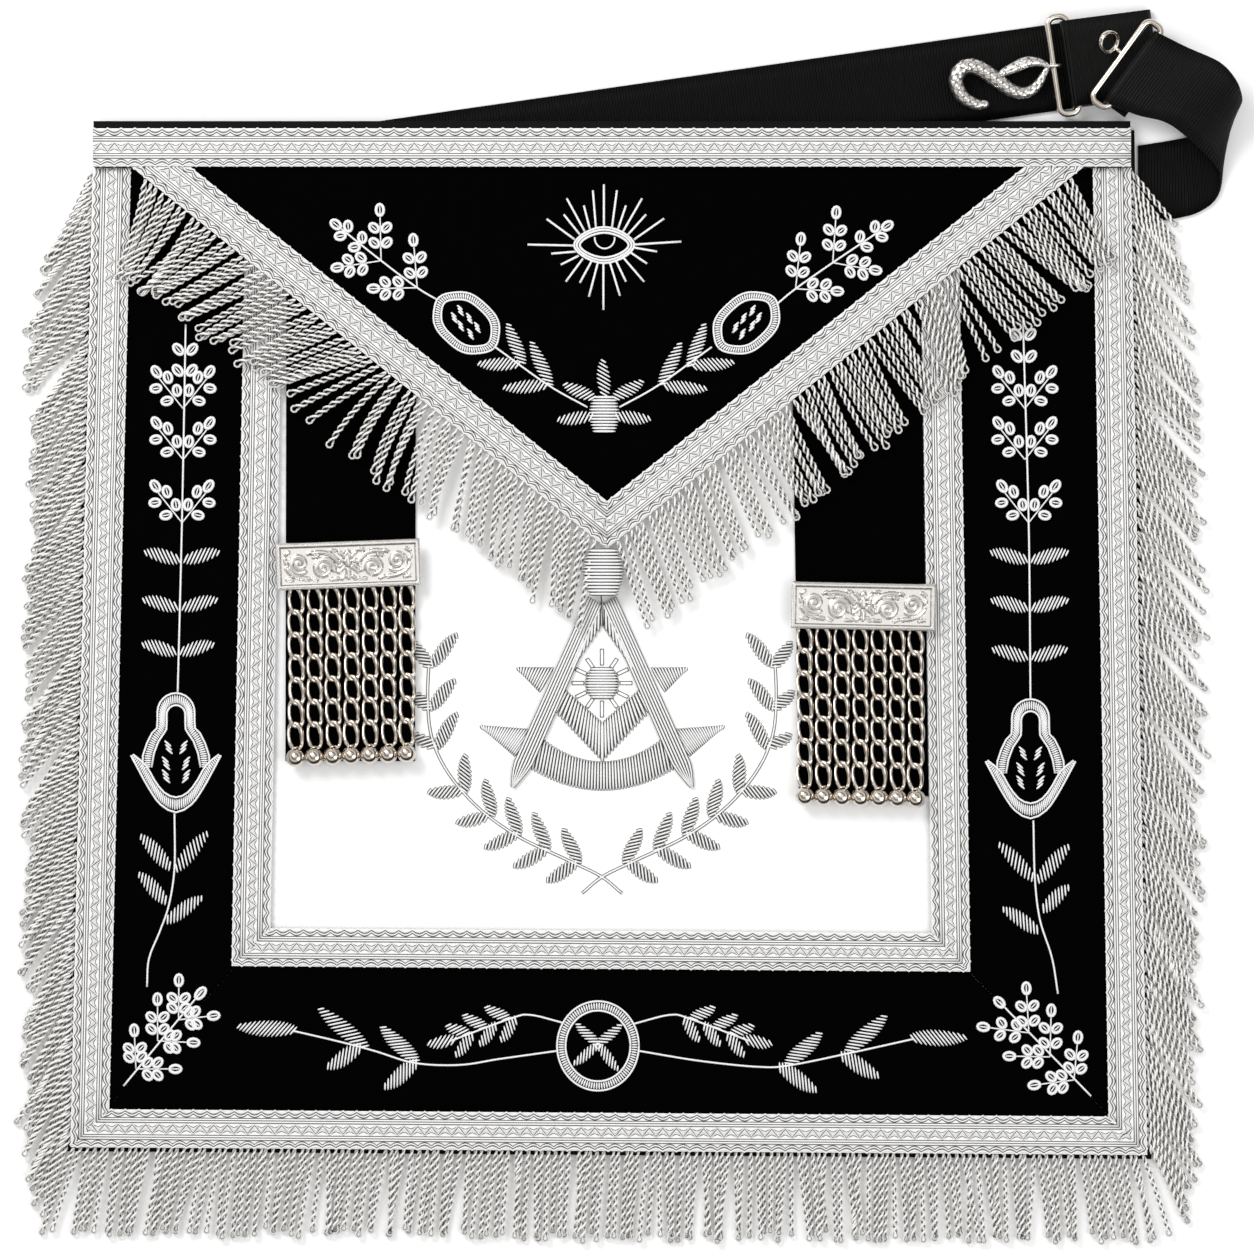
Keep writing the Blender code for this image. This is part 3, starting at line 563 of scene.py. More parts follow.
def strand(form, root, heading, length, bend, levels):
    n = int(length / (1.22 * MM))
    s = np.linspace(0, length, n + 1)
    u = s / length
    way = np.radians(heading + bend * u**1.5)
    d = np.column_stack([np.cos(way), np.sin(way)])
    xy = root + np.concatenate([[[0, 0]], np.cumsum((d[1:] + d[:-1]) / 2 * length / n, axis=0)])
    axis = np.column_stack([xy, np.interp(u, (0, 0.12, 0.5, 1), levels)])
    spin = 2 * np.pi * (s - length) / CORD_TURN
    side = np.column_stack([-d[:, 1], d[:, 0], np.zeros(n + 1)])
    out = side * np.cos(spin)[:, None] + np.array([0, 0, 1]) * np.sin(spin)[:, None]
    off = out * (CORD_TWIST * np.clip(s / (3 * MM), 0.25, 1))[:, None]
    a = np.radians(np.linspace(140, -140, 7))[:, None]
    ahead = np.append(d[-1], 0)
    round_end = ahead * np.cos(a) + side[-1] * np.sin(a)
    loop = axis[-1] + ahead * 1.1 * MM + round_end * 1.15 * MM
    path = np.concatenate([axis + off, loop, (axis - off)[::-1]])
    form.tube(path, CORD_PLY, 5, up=np.concatenate([out, round_end, -out[::-1]]), ends=False)


def fringe(name, node, a, b, count, headings, levels, header_z, length=CORD_LONG, strap_from=None):
    """Cords along an edge. headings has the share along it, the direction in degrees and the bend."""
    form = Form()
    a, b = np.asarray(a, float), np.asarray(b, float)
    d = unit(b - a)
    inward = np.array([-d[1], d[0]])
    slab(form, [a + inward * 0.4 * MM, b + inward * 0.4 * MM], [a + inward * 4.5 * MM, b + inward * 4.5 * MM],
         header_z, 0.9 * MM, wave=0.0)
    shares, angles, bends = (np.array(c, float) for c in zip(*headings))
    for k in range(count):
        t = (k + 0.5 + rng.uniform(-0.25, 0.25)) / count
        root = a + (b - a) * t - inward * 0.3 * MM
        stray = rng.normal(0, 3.0) + 1.5 * math.sin(k * 0.9) + 1.5 * math.sin(k * 0.31)
        long = length * (1 + rng.normal(0, 0.035))
        h = [z + (k % 2) * up for z, up in zip(levels, (0, 0.25 * MM, 1.15 * MM, 1.1 * MM))]
        if strap_from is not None and t > strap_from:
            h = [max(z, 2.7 * MM) for z in h]
            long *= 1 - 0.25 * max(0.0, (t - 0.86) / 0.14)
        strand(form, root, np.interp(t, shares, angles) + stray, long, np.interp(t, shares, bends), h)
    return dress(form.build(name, "cord"), node)


o = inset(OUTER, 0, UNDER_HEM)
# heights of a cord at its root, at 12 %, at half and at its end
FALL = (2.6 * MM, 2.6 * MM, 1.5 * MM, 1.42 * MM)
OVER = (6.6 * MM, 6.7 * MM, 6.6 * MM, 6.3 * MM)
fringe("fringe_left_cords", "fringe_left", o[0], o[1] + unit(o[0] - o[1]) * 4 * MM, 136,
       ((0, 242, -6), (0.1, 232, 0), (0.5, 232, 2), (0.93, 238, 4), (1, 247, 4)), FALL, PILE_Z)
fringe("fringe_bottom_cords", "fringe_bottom", o[1], o[2], 156,
       ((0, 250, 6), (0.05, 258, 4), (0.5, 266, 3), (0.95, 276, -2), (1, 286, -4)), FALL, PILE_Z,
       length=0.94 * CORD_LONG)
fringe("fringe_right_cords", "fringe_right", o[2] + unit(o[3] - o[2]) * 4 * MM, o[3], 136,
       ((0, 292, -3), (0.08, 304, -4), (0.5, 313, -4), (0.9, 312, 0), (1, 305, 4)), FALL, PILE_Z, strap_from=0.84)
f = point(0)
fringe("flap_left_cords", "flap_fringe_left",
       f[0] + unit(f[1] - f[0]) * 5 * MM, f[1] + unit(f[0] - f[1]) * 4 * MM, 76,
       ((0, 262, -14), (0.07, 240, -8), (0.14, 226, -12), (0.2, 212, -2), (0.36, 204, 0), (0.53, 202, 2),
        (0.55, 226, 22), (0.64, 246, 14), (0.75, 260, 4), (0.9, 258, 4), (1, 256, 6)), OVER, FLAP_Z)
fringe("flap_right_cords", "flap_fringe_right",
       f[1] + unit(f[2] - f[1]) * 4 * MM, f[2] + unit(f[1] - f[2]) * 5 * MM, 76,
       ((0, 286, 2), (0.15, 292, 4), (0.3, 296, 4), (0.42, 294, 8), (0.5, 300, 10), (0.62, 300, 2), (0.7, 296, -12),
        (0.76, 314, 4), (0.86, 316, 2), (0.93, 304, 6), (1, 298, 8)), OVER, FLAP_Z)


# Embroidery, drawn at photo places
VELVET_TOP, FLAP_TOP, LEATHER_TOP = 3.66 * MM, 6.26 * MM, 2.4 * MM


def along_curve(points, step=1.2 * MM):
    """A smooth curve through points in plan or space."""
    p = np.asarray(points, float)
    p = np.concatenate([[2 * p[0] - p[1]], p, [2 * p[-1] - p[-2]]])
    out = []
    for i in range(1, len(p) - 2):
        n = max(2, int(np.linalg.norm(p[i + 1] - p[i]) / step))
        t = np.linspace(0, 1, n, endpoint=False)[:, None]
        a, b, c, d = p[i - 1:i + 3]
        out.append(0.5 * (2 * b + (c - a) * t + (2 * a - 5 * b + 4 * c - d) * t**2 + (3 * b - a - 3 * c + d) * t**3))
    return np.concatenate(out + [p[-2][None]])


def stem(form, places, z, r=0.40 * MM):
    xy = along_curve([at(*p) for p in places], 2 * MM)
    form.laid(np.column_stack([xy, np.full(len(xy), z + 0.7 * r)]), r, 6)


def oval(form, base, tip, z, wide=11.2, r=0.66 * MM):
    """A seed leaf: a ring of bullion with one stitch inside, between two photo places."""
    a, b = at(*base), at(*tip)
    d = unit(b - a)
    n = np.array([-d[1], d[0]])
    mid, half, side = (a + b) / 2, np.linalg.norm(b - a) / 2 - r, wide * PIXEL / 2 - r
    t = 2 * np.pi * np.arange(12) / 12
    xy = mid + np.outer(np.cos(t) * half, d) + np.outer(np.sin(t) * side, n)
    form.tube(np.column_stack([xy, np.full(12, z + 0.6 * r)]), r, 5, closed=True)
    form.stitch(mid - d * half * 0.75, mid + d * half * 0.75, 0.34 * MM, z, 4)


LEAF_PITCH = 1.5 * MM


def leaf(form, base, tip, z, wide=15.0, count=11, slant=0.75, r=0.38 * MM):
    """A leaf of slanted stitches, its stitches leaning towards the tip."""
    a, b = at(*base), at(*tip)
    d = unit(b - a)
    n = np.array([-d[1], d[0]])
    long = np.linalg.norm(b - a)
    flip = 1 if d[0] * n[1] > 0 or abs(d[0]) < 0.3 else -1
    count = min(count, round(long / LEAF_PITCH))
    for k in range(count):
        s = (k + 0.5) / count
        w = wide * PIXEL / 2 * math.sin(math.pi * (0.08 + 0.87 * s) ** 0.9) ** 0.75
        mid = a + d * long * s
        form.stitch(mid - n * w - d * w * slant * flip, mid + n * w + d * w * slant * flip, r, z, 5)


def branch(form, node, tip, z, pairs=(31, 46)):
    node, tip = np.asarray(node, float), np.asarray(tip, float)
    d = unit(tip - node)
    long = np.linalg.norm(tip - node)
    stem(form, [node, tip - d * 8], z, 0.3 * MM)
    oval(form, tip - d * 15, tip, z)
    for back in pairs:
        base = tip - d * min(back, long - 6)
        for sign in (-1, 1):
            a = math.radians(47) * sign
            w = np.array([d[0] * math.cos(a) - d[1] * math.sin(a), d[0] * math.sin(a) + d[1] * math.cos(a)])
            oval(form, base + w * 1.5, base + w * 15.5, z)


def fill(form, rows, z, r):
    """Straight stitches laid side by side: each row is a pair of photo places."""
    for a, b in rows:
        form.stitch(at(*a), at(*b), r, z, 5)


def between(a0, b0, a1, b1, count):
    """Stitches that step from the pair a0, b0 to the pair a1, b1."""
    a0, b0, a1, b1 = (np.asarray(p, float) for p in (a0, b0, a1, b1))
    return [(a0 + (a1 - a0) * t, b0 + (b1 - b0) * t) for t in np.linspace(0, 1, count)]


def outline(form, places, z, r, mat):
    pts = np.array([at(*p) for p in (*places, places[0])])
    xy = np.concatenate([a + (b - a) * np.linspace(0, 1, max(2, int(np.linalg.norm(b - a) / (2 * MM))))[:, None]
                         for a, b in zip(pts[:-1], pts[1:])])
    form.laid(np.column_stack([xy, np.full(len(xy), z + 0.6 * r)]), r, 5, mat=mat)


def flipped(p, about):
    return (2 * about - p[0], p[1])


def band(form, outer, inner, z, count, closed=False):
    """Two outlines of laid wire with short stitches across the band between them."""
    rims = []
    for line in (outer, inner):
        line = np.asarray(line, float)
        if closed:
            line = np.concatenate([line, line[:1]])
        d = np.concatenate([[0], np.cumsum(np.linalg.norm(np.diff(line, axis=0), axis=1))])
        rims.append((line, d))
    xy = [[at(*p) for p in line] for line, d in rims]
    for pts in xy:
        form.tube(np.column_stack([pts, np.full(len(pts), z + 0.3 * MM)]), 0.42 * MM, 6)
    for k in range(count):
        t = (k + 0.5) / count
        p, q = (np.array([np.interp(t * d[-1], d, line[:, i]) for i in (0, 1)]) for line, d in rims)
        form.stitch(at(*(p + (q - p) * 0.14)), at(*(q + (p - q) * 0.14)), 0.36 * MM, z, 5)


def dash_leaf(form, x, y, hand, z, size=1.0):
    """Three short parallel stitches, each a step below the last."""
    for k in range(3):
        px, py = x - hand * (k - 1) * 0.8 * size, y + (k - 1) * 3.7 * size
        form.stitch(at(px + hand * 3.3 * size, py - 2.9 * size), at(px - hand * 3.3 * size, py + 2.9 * size),
                    0.45 * MM, z, 5)


def v_spray(form, x, y, z):
    for hand in (-1, 1):
        stem(form, [(x, y), (x + hand * 27, y - 34)], z, 0.3 * MM)
        for tip, base in (((31, -43), (22, -30)), ((17, -38), (13, -24)), ((34, -19), (20, -21)),
                          ((7, -25), (5, -11)), ((23, -6), (9, -9))):
            oval(form, (x + hand * base[0], y + base[1]), (x + hand * tip[0], y + tip[1]), z)


def lock_motif(form, x, y, z):
    """A bell-shaped arch over a crescent with two horns, with small leaves inside."""
    t = np.linspace(0, math.pi, 13)
    top_out = [(18.5 * math.cos(a), 19 - 19 * math.sin(a)) for a in t]
    top_in = [(9.3 * math.cos(a), 21.5 - 9.5 * math.sin(a)) for a in t]
    skirt_out = [(33.5, 76), (33, 62), (29, 50), (24, 40), (19, 35), (18.5, 28)]
    skirt_in = [(24.5, 74), (22, 60), (17.5, 48), (12, 40), (9.6, 36), (9.3, 30)]
    outer = skirt_out + top_out + [(-a, b) for a, b in skirt_out[::-1]]
    inner = skirt_in + top_in + [(-a, b) for a, b in skirt_in[::-1]]
    band(form, [(x + a, y + b) for a, b in outer], [(x + a, y + b) for a, b in inner], z, 72)
    low = [(45, 62), (37, 77), (27, 95), (15.5, 111), (0, 119)]
    high = [(43, 61), (30, 72), (22, 86), (12, 99), (0, 104)]
    crescent = [[(x + a, y + b) for a, b in along_curve(side + [(-a, b) for a, b in side[-2::-1]], 6)]
                for side in (low, high)]
    band(form, *crescent, z + 0.2 * MM, 60)
    for hand in (-1, 1):
        for dy, reach in ((54, 7.5), (70, 10), (83, 10)):
            dash_leaf(form, x + hand * reach, y + dy, hand, z)


def column(name, top, mid, foot, roots, pairs, lock, low, tail, first=()):
    form = Form()
    z = VELVET_TOP
    stem(form, [top, mid, foot], z)
    for y in first:
        x = np.interp(y, (top[1], mid[1]), (top[0], mid[0]))
        for hand in (-1, 1):
            oval(form, (x + hand * 2, y + 8), (x + hand * 12, y - 4), z)
    for root in roots:
        v_spray(form, *root, z)
    for left, right, y in pairs:
        x = (left + right) / 2
        leaf(form, (x - 2, y + 3), (left, y - 3), z, 15, 11, slant=-0.7)
        leaf(form, (x + 2, y + 3), (right, y - 3), z, 15, 11, slant=0.7)
    lock_motif(form, *lock, z)
    stem(form, tail, z)
    for base, tip in low:
        leaf(form, base, tip, z, 15, 11, slant=0.7 if tip[0] > base[0] else -0.7)
    return dress(form.build(name, "bullion"))


column("embroidery_left", (186.7, 325), (183, 520), (178.7, 692), ((184, 409), (184, 460), (183, 523)),
       ((144.7, 221, 556), (143, 219, 603.5), (142.5, 215.6, 648)), (177, 693),
       (((172, 867), (140.6, 835)), ((176, 869), (209.5, 832)), ((168, 901), (138.8, 873)),
        ((167, 920), (204, 897))),
       ((175.5, 813), (175.5, 867), (170, 904), (160.7, 931), (150, 958), (148, 986)), first=(348, 369))
column("embroidery_right", (1022, 318), (1027.8, 523), (1029.6, 699), ((1024, 409), (1024, 460), (1027.8, 523)),
       ((989, 1068, 556), (989.6, 1068, 604), (990.7, 1067, 653)), (1029.6, 699),
       (((1033, 878), (997, 843)), ((1036, 880), (1069, 845)), ((1041, 909), (1069, 886)),
        ((1038, 930), (1001, 908))),
       ((1032.5, 820), (1034, 878), (1039, 919), (1051, 957), (1057, 993)), first=(333, 355))

# Bottom band: corner sprays, the wheel and the trailing leaves
form = Form()
z = VELVET_TOP
# columns: node, tip of its upper branch, tip of its side branch
LEFT_SPRAY = (((137, 1068), (135, 1022), (184, 1068)), ((158.6, 1040), (158.6, 991), (202, 1042)),
              ((179.5, 1019), (180, 972), (222, 1014)))
RIGHT_SPRAY = (((1073, 1079), (1077.6, 1029), (1026, 1085)), ((1049, 1056), (1050.5, 1002), (1001, 1055)),
               ((1028, 1032), (1025, 980), (975, 1025)))
for stalk, spray in (([(124.6, 1085), (203, 990)], LEFT_SPRAY), ([(1090, 1095), (998.5, 1001)], RIGHT_SPRAY)):
    stem(form, stalk, z)
    for node, up, side in spray:
        branch(form, node, up, z)
        branch(form, node, side, z)
oval(form, (196, 999), (207, 986), z)
oval(form, (1004, 1007), (993, 996), z)
wheel = np.array([598.0, 1045.0])
turn = 2 * math.pi * np.arange(60) / 60
WHEEL_RIMS = ((40.8, 44.6), (32.4, 35.3))  # half width and half height of each, in pixels
band(form, *([wheel + (rx * math.cos(a), ry * math.sin(a)) for a in turn] for rx, ry in WHEEL_RIMS), z, 96,
     closed=True)
for tip, lean in (((577, 1022), 0.9), ((621, 1023), -0.9), ((573, 1063), 0.9), ((619, 1069), -0.9)):
    leaf(form, wheel + (0, 0), tip, z, 11, 9, slant=lean)
form.tube([(*at(*(wheel + (2.6 * math.cos(a), 2.6 * math.sin(a)))), z + 0.4 * MM) for a in turn[::6]],
          0.35 * MM, 6, closed=True)
stem(form, [(563.5, 1022), (530, 1014), (510, 1018), (451, 1040)], z)
leaf(form, (456, 1040), (427.7, 1042), z, 14, 9)
TRAIL = (((468, 1034), (447, 1023.5)), ((485, 1028), (464, 1013)), ((508, 1019), (486, 1005)),
         ((474, 1034), (455, 1055)), ((497, 1024), (479, 1044)), ((517, 1018), (500, 1040)))
for base, tip in TRAIL:
    leaf(form, base, tip, z, 13, 8)
    leaf(form, flipped(base, BAND_MIDDLE), flipped(tip, BAND_MIDDLE), z, 13, 8, slant=-0.75)
stem(form, [(633.5, 1023), (670, 1014), (690, 1018), (749, 1040)], z)
leaf(form, (744, 1040), (772, 1042), z, 14, 9, slant=-0.75)
stem(form, [(557, 1050), (500, 1058), (460, 1064), (415, 1062), (375, 1050), (337, 1040), (294, 1030)], z)
leaf(form, (296, 1030), (238, 1025), z, 17, 17)
for base, tip in (((366, 1047), (320, 1006.6)), ((362, 1047), (327, 1066)), ((416, 1061), (382.5, 1025)),
                  ((418, 1062), (384, 1086.5))):
    leaf(form, base, tip, z, 17, 14)
stem(form, [(639, 1050), (700, 1060), (760, 1066), (791.5, 1064), (854.5, 1051), (913, 1038)], z)
leaf(form, (911, 1038), (966, 1036), z, 17, 17, slant=-0.75)
for base, tip in (((848, 1051), (885, 1014)), ((840, 1055), (879, 1075)), ((788, 1064), (820, 1031)),
                  ((778, 1066), (817, 1089.5))):
    leaf(form, base, tip, z, 17, 14, slant=-0.75)
dress(form.build("embroidery_bottom", "bullion"))

# Flap: the eye with its rays, sprays, medallions and the lotus
form = Form()
z = FLAP_TOP
# columns: photo place of the ray's inner end, then of its outer end
RAYS = (
    (604, 229, 604, 186), (596, 229, 593, 192), (612, 229, 617, 192), (590, 230.5, 584, 207),
    (618, 230.5, 626, 207), (585, 233, 567, 200), (623, 233, 642, 200), (580, 236, 564, 216),
    (628, 236, 646, 216), (575, 241, 547, 220.5), (634, 241, 664, 220), (575, 247, 528, 246),
    (634, 246, 681, 243), (576, 253, 551.5, 255), (634, 249, 657, 253), (579, 257, 561, 266),
    (630, 253.5, 647, 265), (583, 260, 566, 283), (622.5, 258, 644, 283), (592, 262, 580, 284),
    (616, 262, 626, 283), (598, 264, 589, 298), (610, 264, 620, 297), (603.5, 264, 603.5, 311),
)
for x0, y0, x1, y1 in RAYS:
    a, b = np.array([x0, y0], float), np.array([x1, y1], float)
    form.laid([(*at(*(a + (b - a) * s)), z + 0.3 * MM) for s in (0, 0.25, 0.5, 0.75, 1)], 0.46 * MM, 6)
t = 2 * np.pi * np.arange(28) / 28
for rx, ry in ((30.0, 18.0), (27.4, 15.4), (24.4, 12.4)):
    shape = np.array([at(604.3 + rx * math.copysign(abs(math.cos(a)) ** 1.15, math.cos(a)),
                         246.5 + ry * math.sin(a) * (0.72 + 0.28 * abs(math.sin(a)))) for a in t])
    form.tube(np.column_stack([shape, np.full(28, z + 0.3 * MM)]), 0.47 * MM, 6, closed=True)
iris = [at(604.8 + 10 * math.cos(a), 239.5 + 10.5 * math.sin(a)) for a in np.linspace(-0.1, math.pi + 0.1, 13)]
form.tube(np.column_stack([iris, np.full(13, z + 0.3 * MM)]), 0.36 * MM, 6)
for stalk, nodes in (
    (((438, 301), (418, 289), (382, 262), (342, 230)),
     (((418, 289), (413.6, 234), (367, 290)), ((382, 262), (380.6, 204), (331, 270)))),
    (((775.5, 306), (795, 290), (832, 264), (881, 231)),
     (((795, 290), (801, 233), (844, 293)), ((832, 264), (836, 206.5), (882, 273)))),
):
    stem(form, stalk, z)
    beyond = unit(np.array(stalk[3], float) - stalk[2]) * 14
    branch(form, stalk[2], np.array(stalk[3]) + beyond, z, pairs=(24, 42))
    for node, up, side in nodes:
        branch(form, node, up, z, pairs=(31, 46))
        branch(form, node, side, z, pairs=(25, 38))
for cx, cy, hand in ((467, 324, 1), (746, 324, -1)):
    rims = []
    for long, wide in ((36.5, 27.0), (29.0, 19.5)):
        p = []
        for a in 2 * math.pi * np.arange(48) / 48:
            lobe = 1 + 0.02 * math.cos(6 * a)
            p.append((long * math.cos(a) * lobe, wide * math.sin(a) * lobe))
        rims.append([(cx + hand * 0.731 * (u - v), cy + 0.682 * (u + v)) for u, v in p])
    band(form, *rims, z, 76, closed=True)
    for dx, dy in ((-6, -12.4), (2.9, -4.5), (10.8, 4.5), (-12.1, -5.1), (-5.7, 2.9), (4.1, 11.2)):
        dash_leaf(form, cx + hand * dx, cy + dy, -hand, z, size=0.8)
for hand in (-1, 1):
    stem(form, [(603.5 + hand * 108, 348), (603.5 + hand * 55, 386), (603.5 + hand * 16, 408)], z)
for base, tip in (((522.6, 365), (508.7, 324)), ((520, 366), (478, 364)), ((550, 386.6), (532, 342)),
                  ((548, 387), (503, 388)), ((690, 368), (704, 324)), ((692, 368), (734, 362.5)),
                  ((661.6, 386.6), (680, 343)), ((664, 388), (707, 389))):
    leaf(form, base, tip, z, 14, 12, slant=0.7 if tip[0] < base[0] else -0.7)
fill(form, [((604.3 - w, y), (604.3 + w, y)) for y, w in
            zip(np.linspace(398, 432, 12), 10 + 5 * np.sin(np.linspace(0.3, 2.9, 12)))], z, 0.5 * MM)
for base, tip in (((604, 397), (603.5, 360)), ((594, 400), (564, 384)), ((614, 400), (643, 381)),
                  ((593, 418), (557, 420)), ((616, 418), (651, 419))):
    leaf(form, base, tip, z, 14, 10, slant=0.6 if tip[0] < base[0] + 1 else -0.6)
dress(form.build("embroidery_flap", "bullion"))

# Emblem on the leather: compasses, square, quadrant and sun
form = Form()
form.shadow = True
z = LEATHER_TOP
quad_top = [(x, 761 - 30 * ((x - 602.5) / 68) ** 2) for x in np.linspace(534, 671, 50)]
for x, y in quad_top:
    s = (x - 602.5) / 68
    form.stitch(at(x, y), at(602.5 + s * 76, 790.7 - 24 * s * s), 0.44 * MM, z, 5)
for hand in (-1, 1):
    def m(x, y):
        return (602.3 + hand * (602.3 - x), y)
    fill(form, between(m(481, 725), m(483, 729), m(534, 729), m(514, 756), 20), z, 0.42 * MM)
    fill(form, between(m(518, 667), m(519, 671), m(553, 667), m(539, 692), 12), z, 0.42 * MM)
    # the square's arms, then the compasses over them
    fill(form, between(m(562, 686), m(549, 706), m(602, 722), m(602, 761), 17), z + 0.3 * MM, 0.50 * MM)
    for q in np.linspace(-0.5, 0.5, 6):
        path = []
        for s in np.linspace(0, 1, 24):
            w = q * min(1.0, 0.12 + (1 - s) / 0.13)
            a, b = np.array(m(595.5 + 11 * w, 601 + 8 * w)), np.array(m(513 + 17 * w, 787))
            path.append((*at(*(a + (b - a) * s)), z + 1.3 * MM))
        form.laid(path, 0.42 * MM * np.clip(0.4 + 4.6 * np.linspace(1, 0, 24), 0.4, 1.0), 6)
    fill(form, between(m(602, 602), m(602, 626), m(578, 650), m(572, 668), 9), z + 0.8 * MM, 0.46 * MM)
fill(form, [((602 - w, y), (602 + w, y)) for y, w in
            zip(np.linspace(669, 697, 11), 17 * np.sin(np.linspace(0.75, 2.39, 11)))], z + 0.3 * MM, 0.5 * MM)
for k in range(12):
    a = math.pi * k / 6
    c, s = math.cos(a), math.sin(a)
    tall = 34 if k % 3 == 0 else 28
    p, q = np.array([602 + 18 * c, 683 + 18 * s]), np.array([602 + 30 * c, 683 + tall * s])
    n = np.array([-s, c]) * 1.7
    form.shadow = False
    outline(form, [p + n, q + n, q - n, p - n], z, 0.17 * MM, 1)
    form.shadow = True
fill(form, [((603.2 - w, y), (603.2 + w, y)) for y, w in
            zip(np.linspace(551, 594, 14), 12.5 + 8 * np.sin(np.linspace(0.25, 2.9, 14)))], z + 5.7 * MM, 0.52 * MM)
# the pad under the raised stitches takes the dark thread's colour: painted shade at the stitches' edges
form.tube([(*at(603, 573.5), z), (*at(603, 573.5), z + 5.5 * MM)], 7.3 * MM, 20, mat=1)
form.tube([(*at(601, 592), z + 2.1 * MM), (*at(603, 626), z + 1.6 * MM)], 0.3 * MM, 6, mat=1)
dress(form.build("embroidery_emblem", "bullion", "shade_thread"))

form = Form()
form.shadow = True
stalk = [(429, 665), (428, 700), (432, 737), (448, 772), (478, 807), (518, 836), (566, 859), (601, 876),
         (622, 893)]
LEAVES = (((431, 665), (458, 634)), ((430, 708), (456, 680)), ((435, 748), (458, 713)), ((464, 792), (466, 754)),
          ((492, 816), (486, 779)), ((518, 835), (508.5, 797)), ((547, 851), (534.5, 812)), ((578, 863), (564, 828)),
          ((429, 668), (414, 641)), ((429, 710), (412, 690)), ((434, 748), (414, 733)), ((462, 793), (428, 791)),
          ((488, 818), (456, 821.5)), ((518, 835), (484, 847)), ((547, 851), (513, 866)), ((577, 864), (546, 880.5)))
for side in (False, True):
    stem(form, [flipped(p, WREATH_MIDDLE) if side else p for p in stalk], z, 0.38 * MM)
    for pair in LEAVES:
        base, tip = (flipped(p, WREATH_MIDDLE) if side else p for p in pair)
        leaf(form, base, tip, z, 14.5, 11, slant=-0.7 if side else 0.7)
dress(form.build("embroidery_wreath", "bullion", "shade_thread"))


# Tassels: bars, chains and balls
LINK_PITCH, LINK_LONG, LINK_WIDE, LINK_WIRE, LINK_TURN = 8.6 * MM, 11.8 * MM, 6.7 * MM, 1.7 * MM, 1.15 * MM
BALL, BALL_Z, CHAIN_Z, LINK_LEAN = 7.4 * MM, 7.8 * MM, 5.85 * MM, 0.55 * MM
BAR_LONG, BAR_WIDE, BAR_Z, BAR_WALL = 55.2 * MM, 18.0 * MM, 7.9 * MM, 1.2 * MM


def globe(form, centre, r, rows=12, cols=18):
    lat = np.linspace(-np.pi / 2, np.pi / 2, rows)[:, None]
    lon = 2 * np.pi * np.arange(cols)[None] / cols
    pts = np.stack([np.cos(lat) * np.cos(lon), np.cos(lat) * np.sin(lon), np.sin(lat) + 0 * lon], -1)
    form.grid(np.asarray(centre) + r * pts, wrap=True)


def chain(name, x, y, swing):
    """Seven curb links and a ball; swing sets the links a little to one side."""
    form = Form()
    a, l = (LINK_WIDE - LINK_WIRE) / 2, (LINK_LONG - LINK_WIRE) / 2
    t = 2 * np.pi * (np.arange(26) + 0.5) / 26
    for i in range(7):
        mid = y - LINK_LONG / 2 - i * LINK_PITCH
        px = x + a * np.sign(np.cos(t)) * np.abs(np.cos(t)) ** 0.8 + swing * 0.25 * MM * np.sin(1.3 * i)
        px -= LINK_LEAN * np.sin(t)
        pz = CHAIN_Z + LINK_TURN * np.sin(2 * t)
        form.tube(np.column_stack([px, mid + l * np.sin(t), pz]), LINK_WIRE / 2 * (1 + 0.14 * np.cos(t)), 9,
                  closed=True)
    foot = y - LINK_LONG - 6 * LINK_PITCH
    globe(form, (x, foot - BALL * 0.3, BALL_Z), BALL / 2)
    form.tube([(x, foot + 1.6 * MM, CHAIN_Z + 1 * MM), (x, foot + 0.4 * MM, BALL_Z - 0.2 * MM)], 1.2 * MM, 10)
    return dress(form.build(name + "_links", "nickel"), name)


def spiral(cx, cy, r0, r1, start, turns):
    u = np.linspace(0, 1, 40)
    a = np.radians(start) + 2 * np.pi * turns * u
    r = r0 + (r1 - r0) * u
    return np.column_stack([cx + r * np.cos(a), cy + r * np.sin(a)])


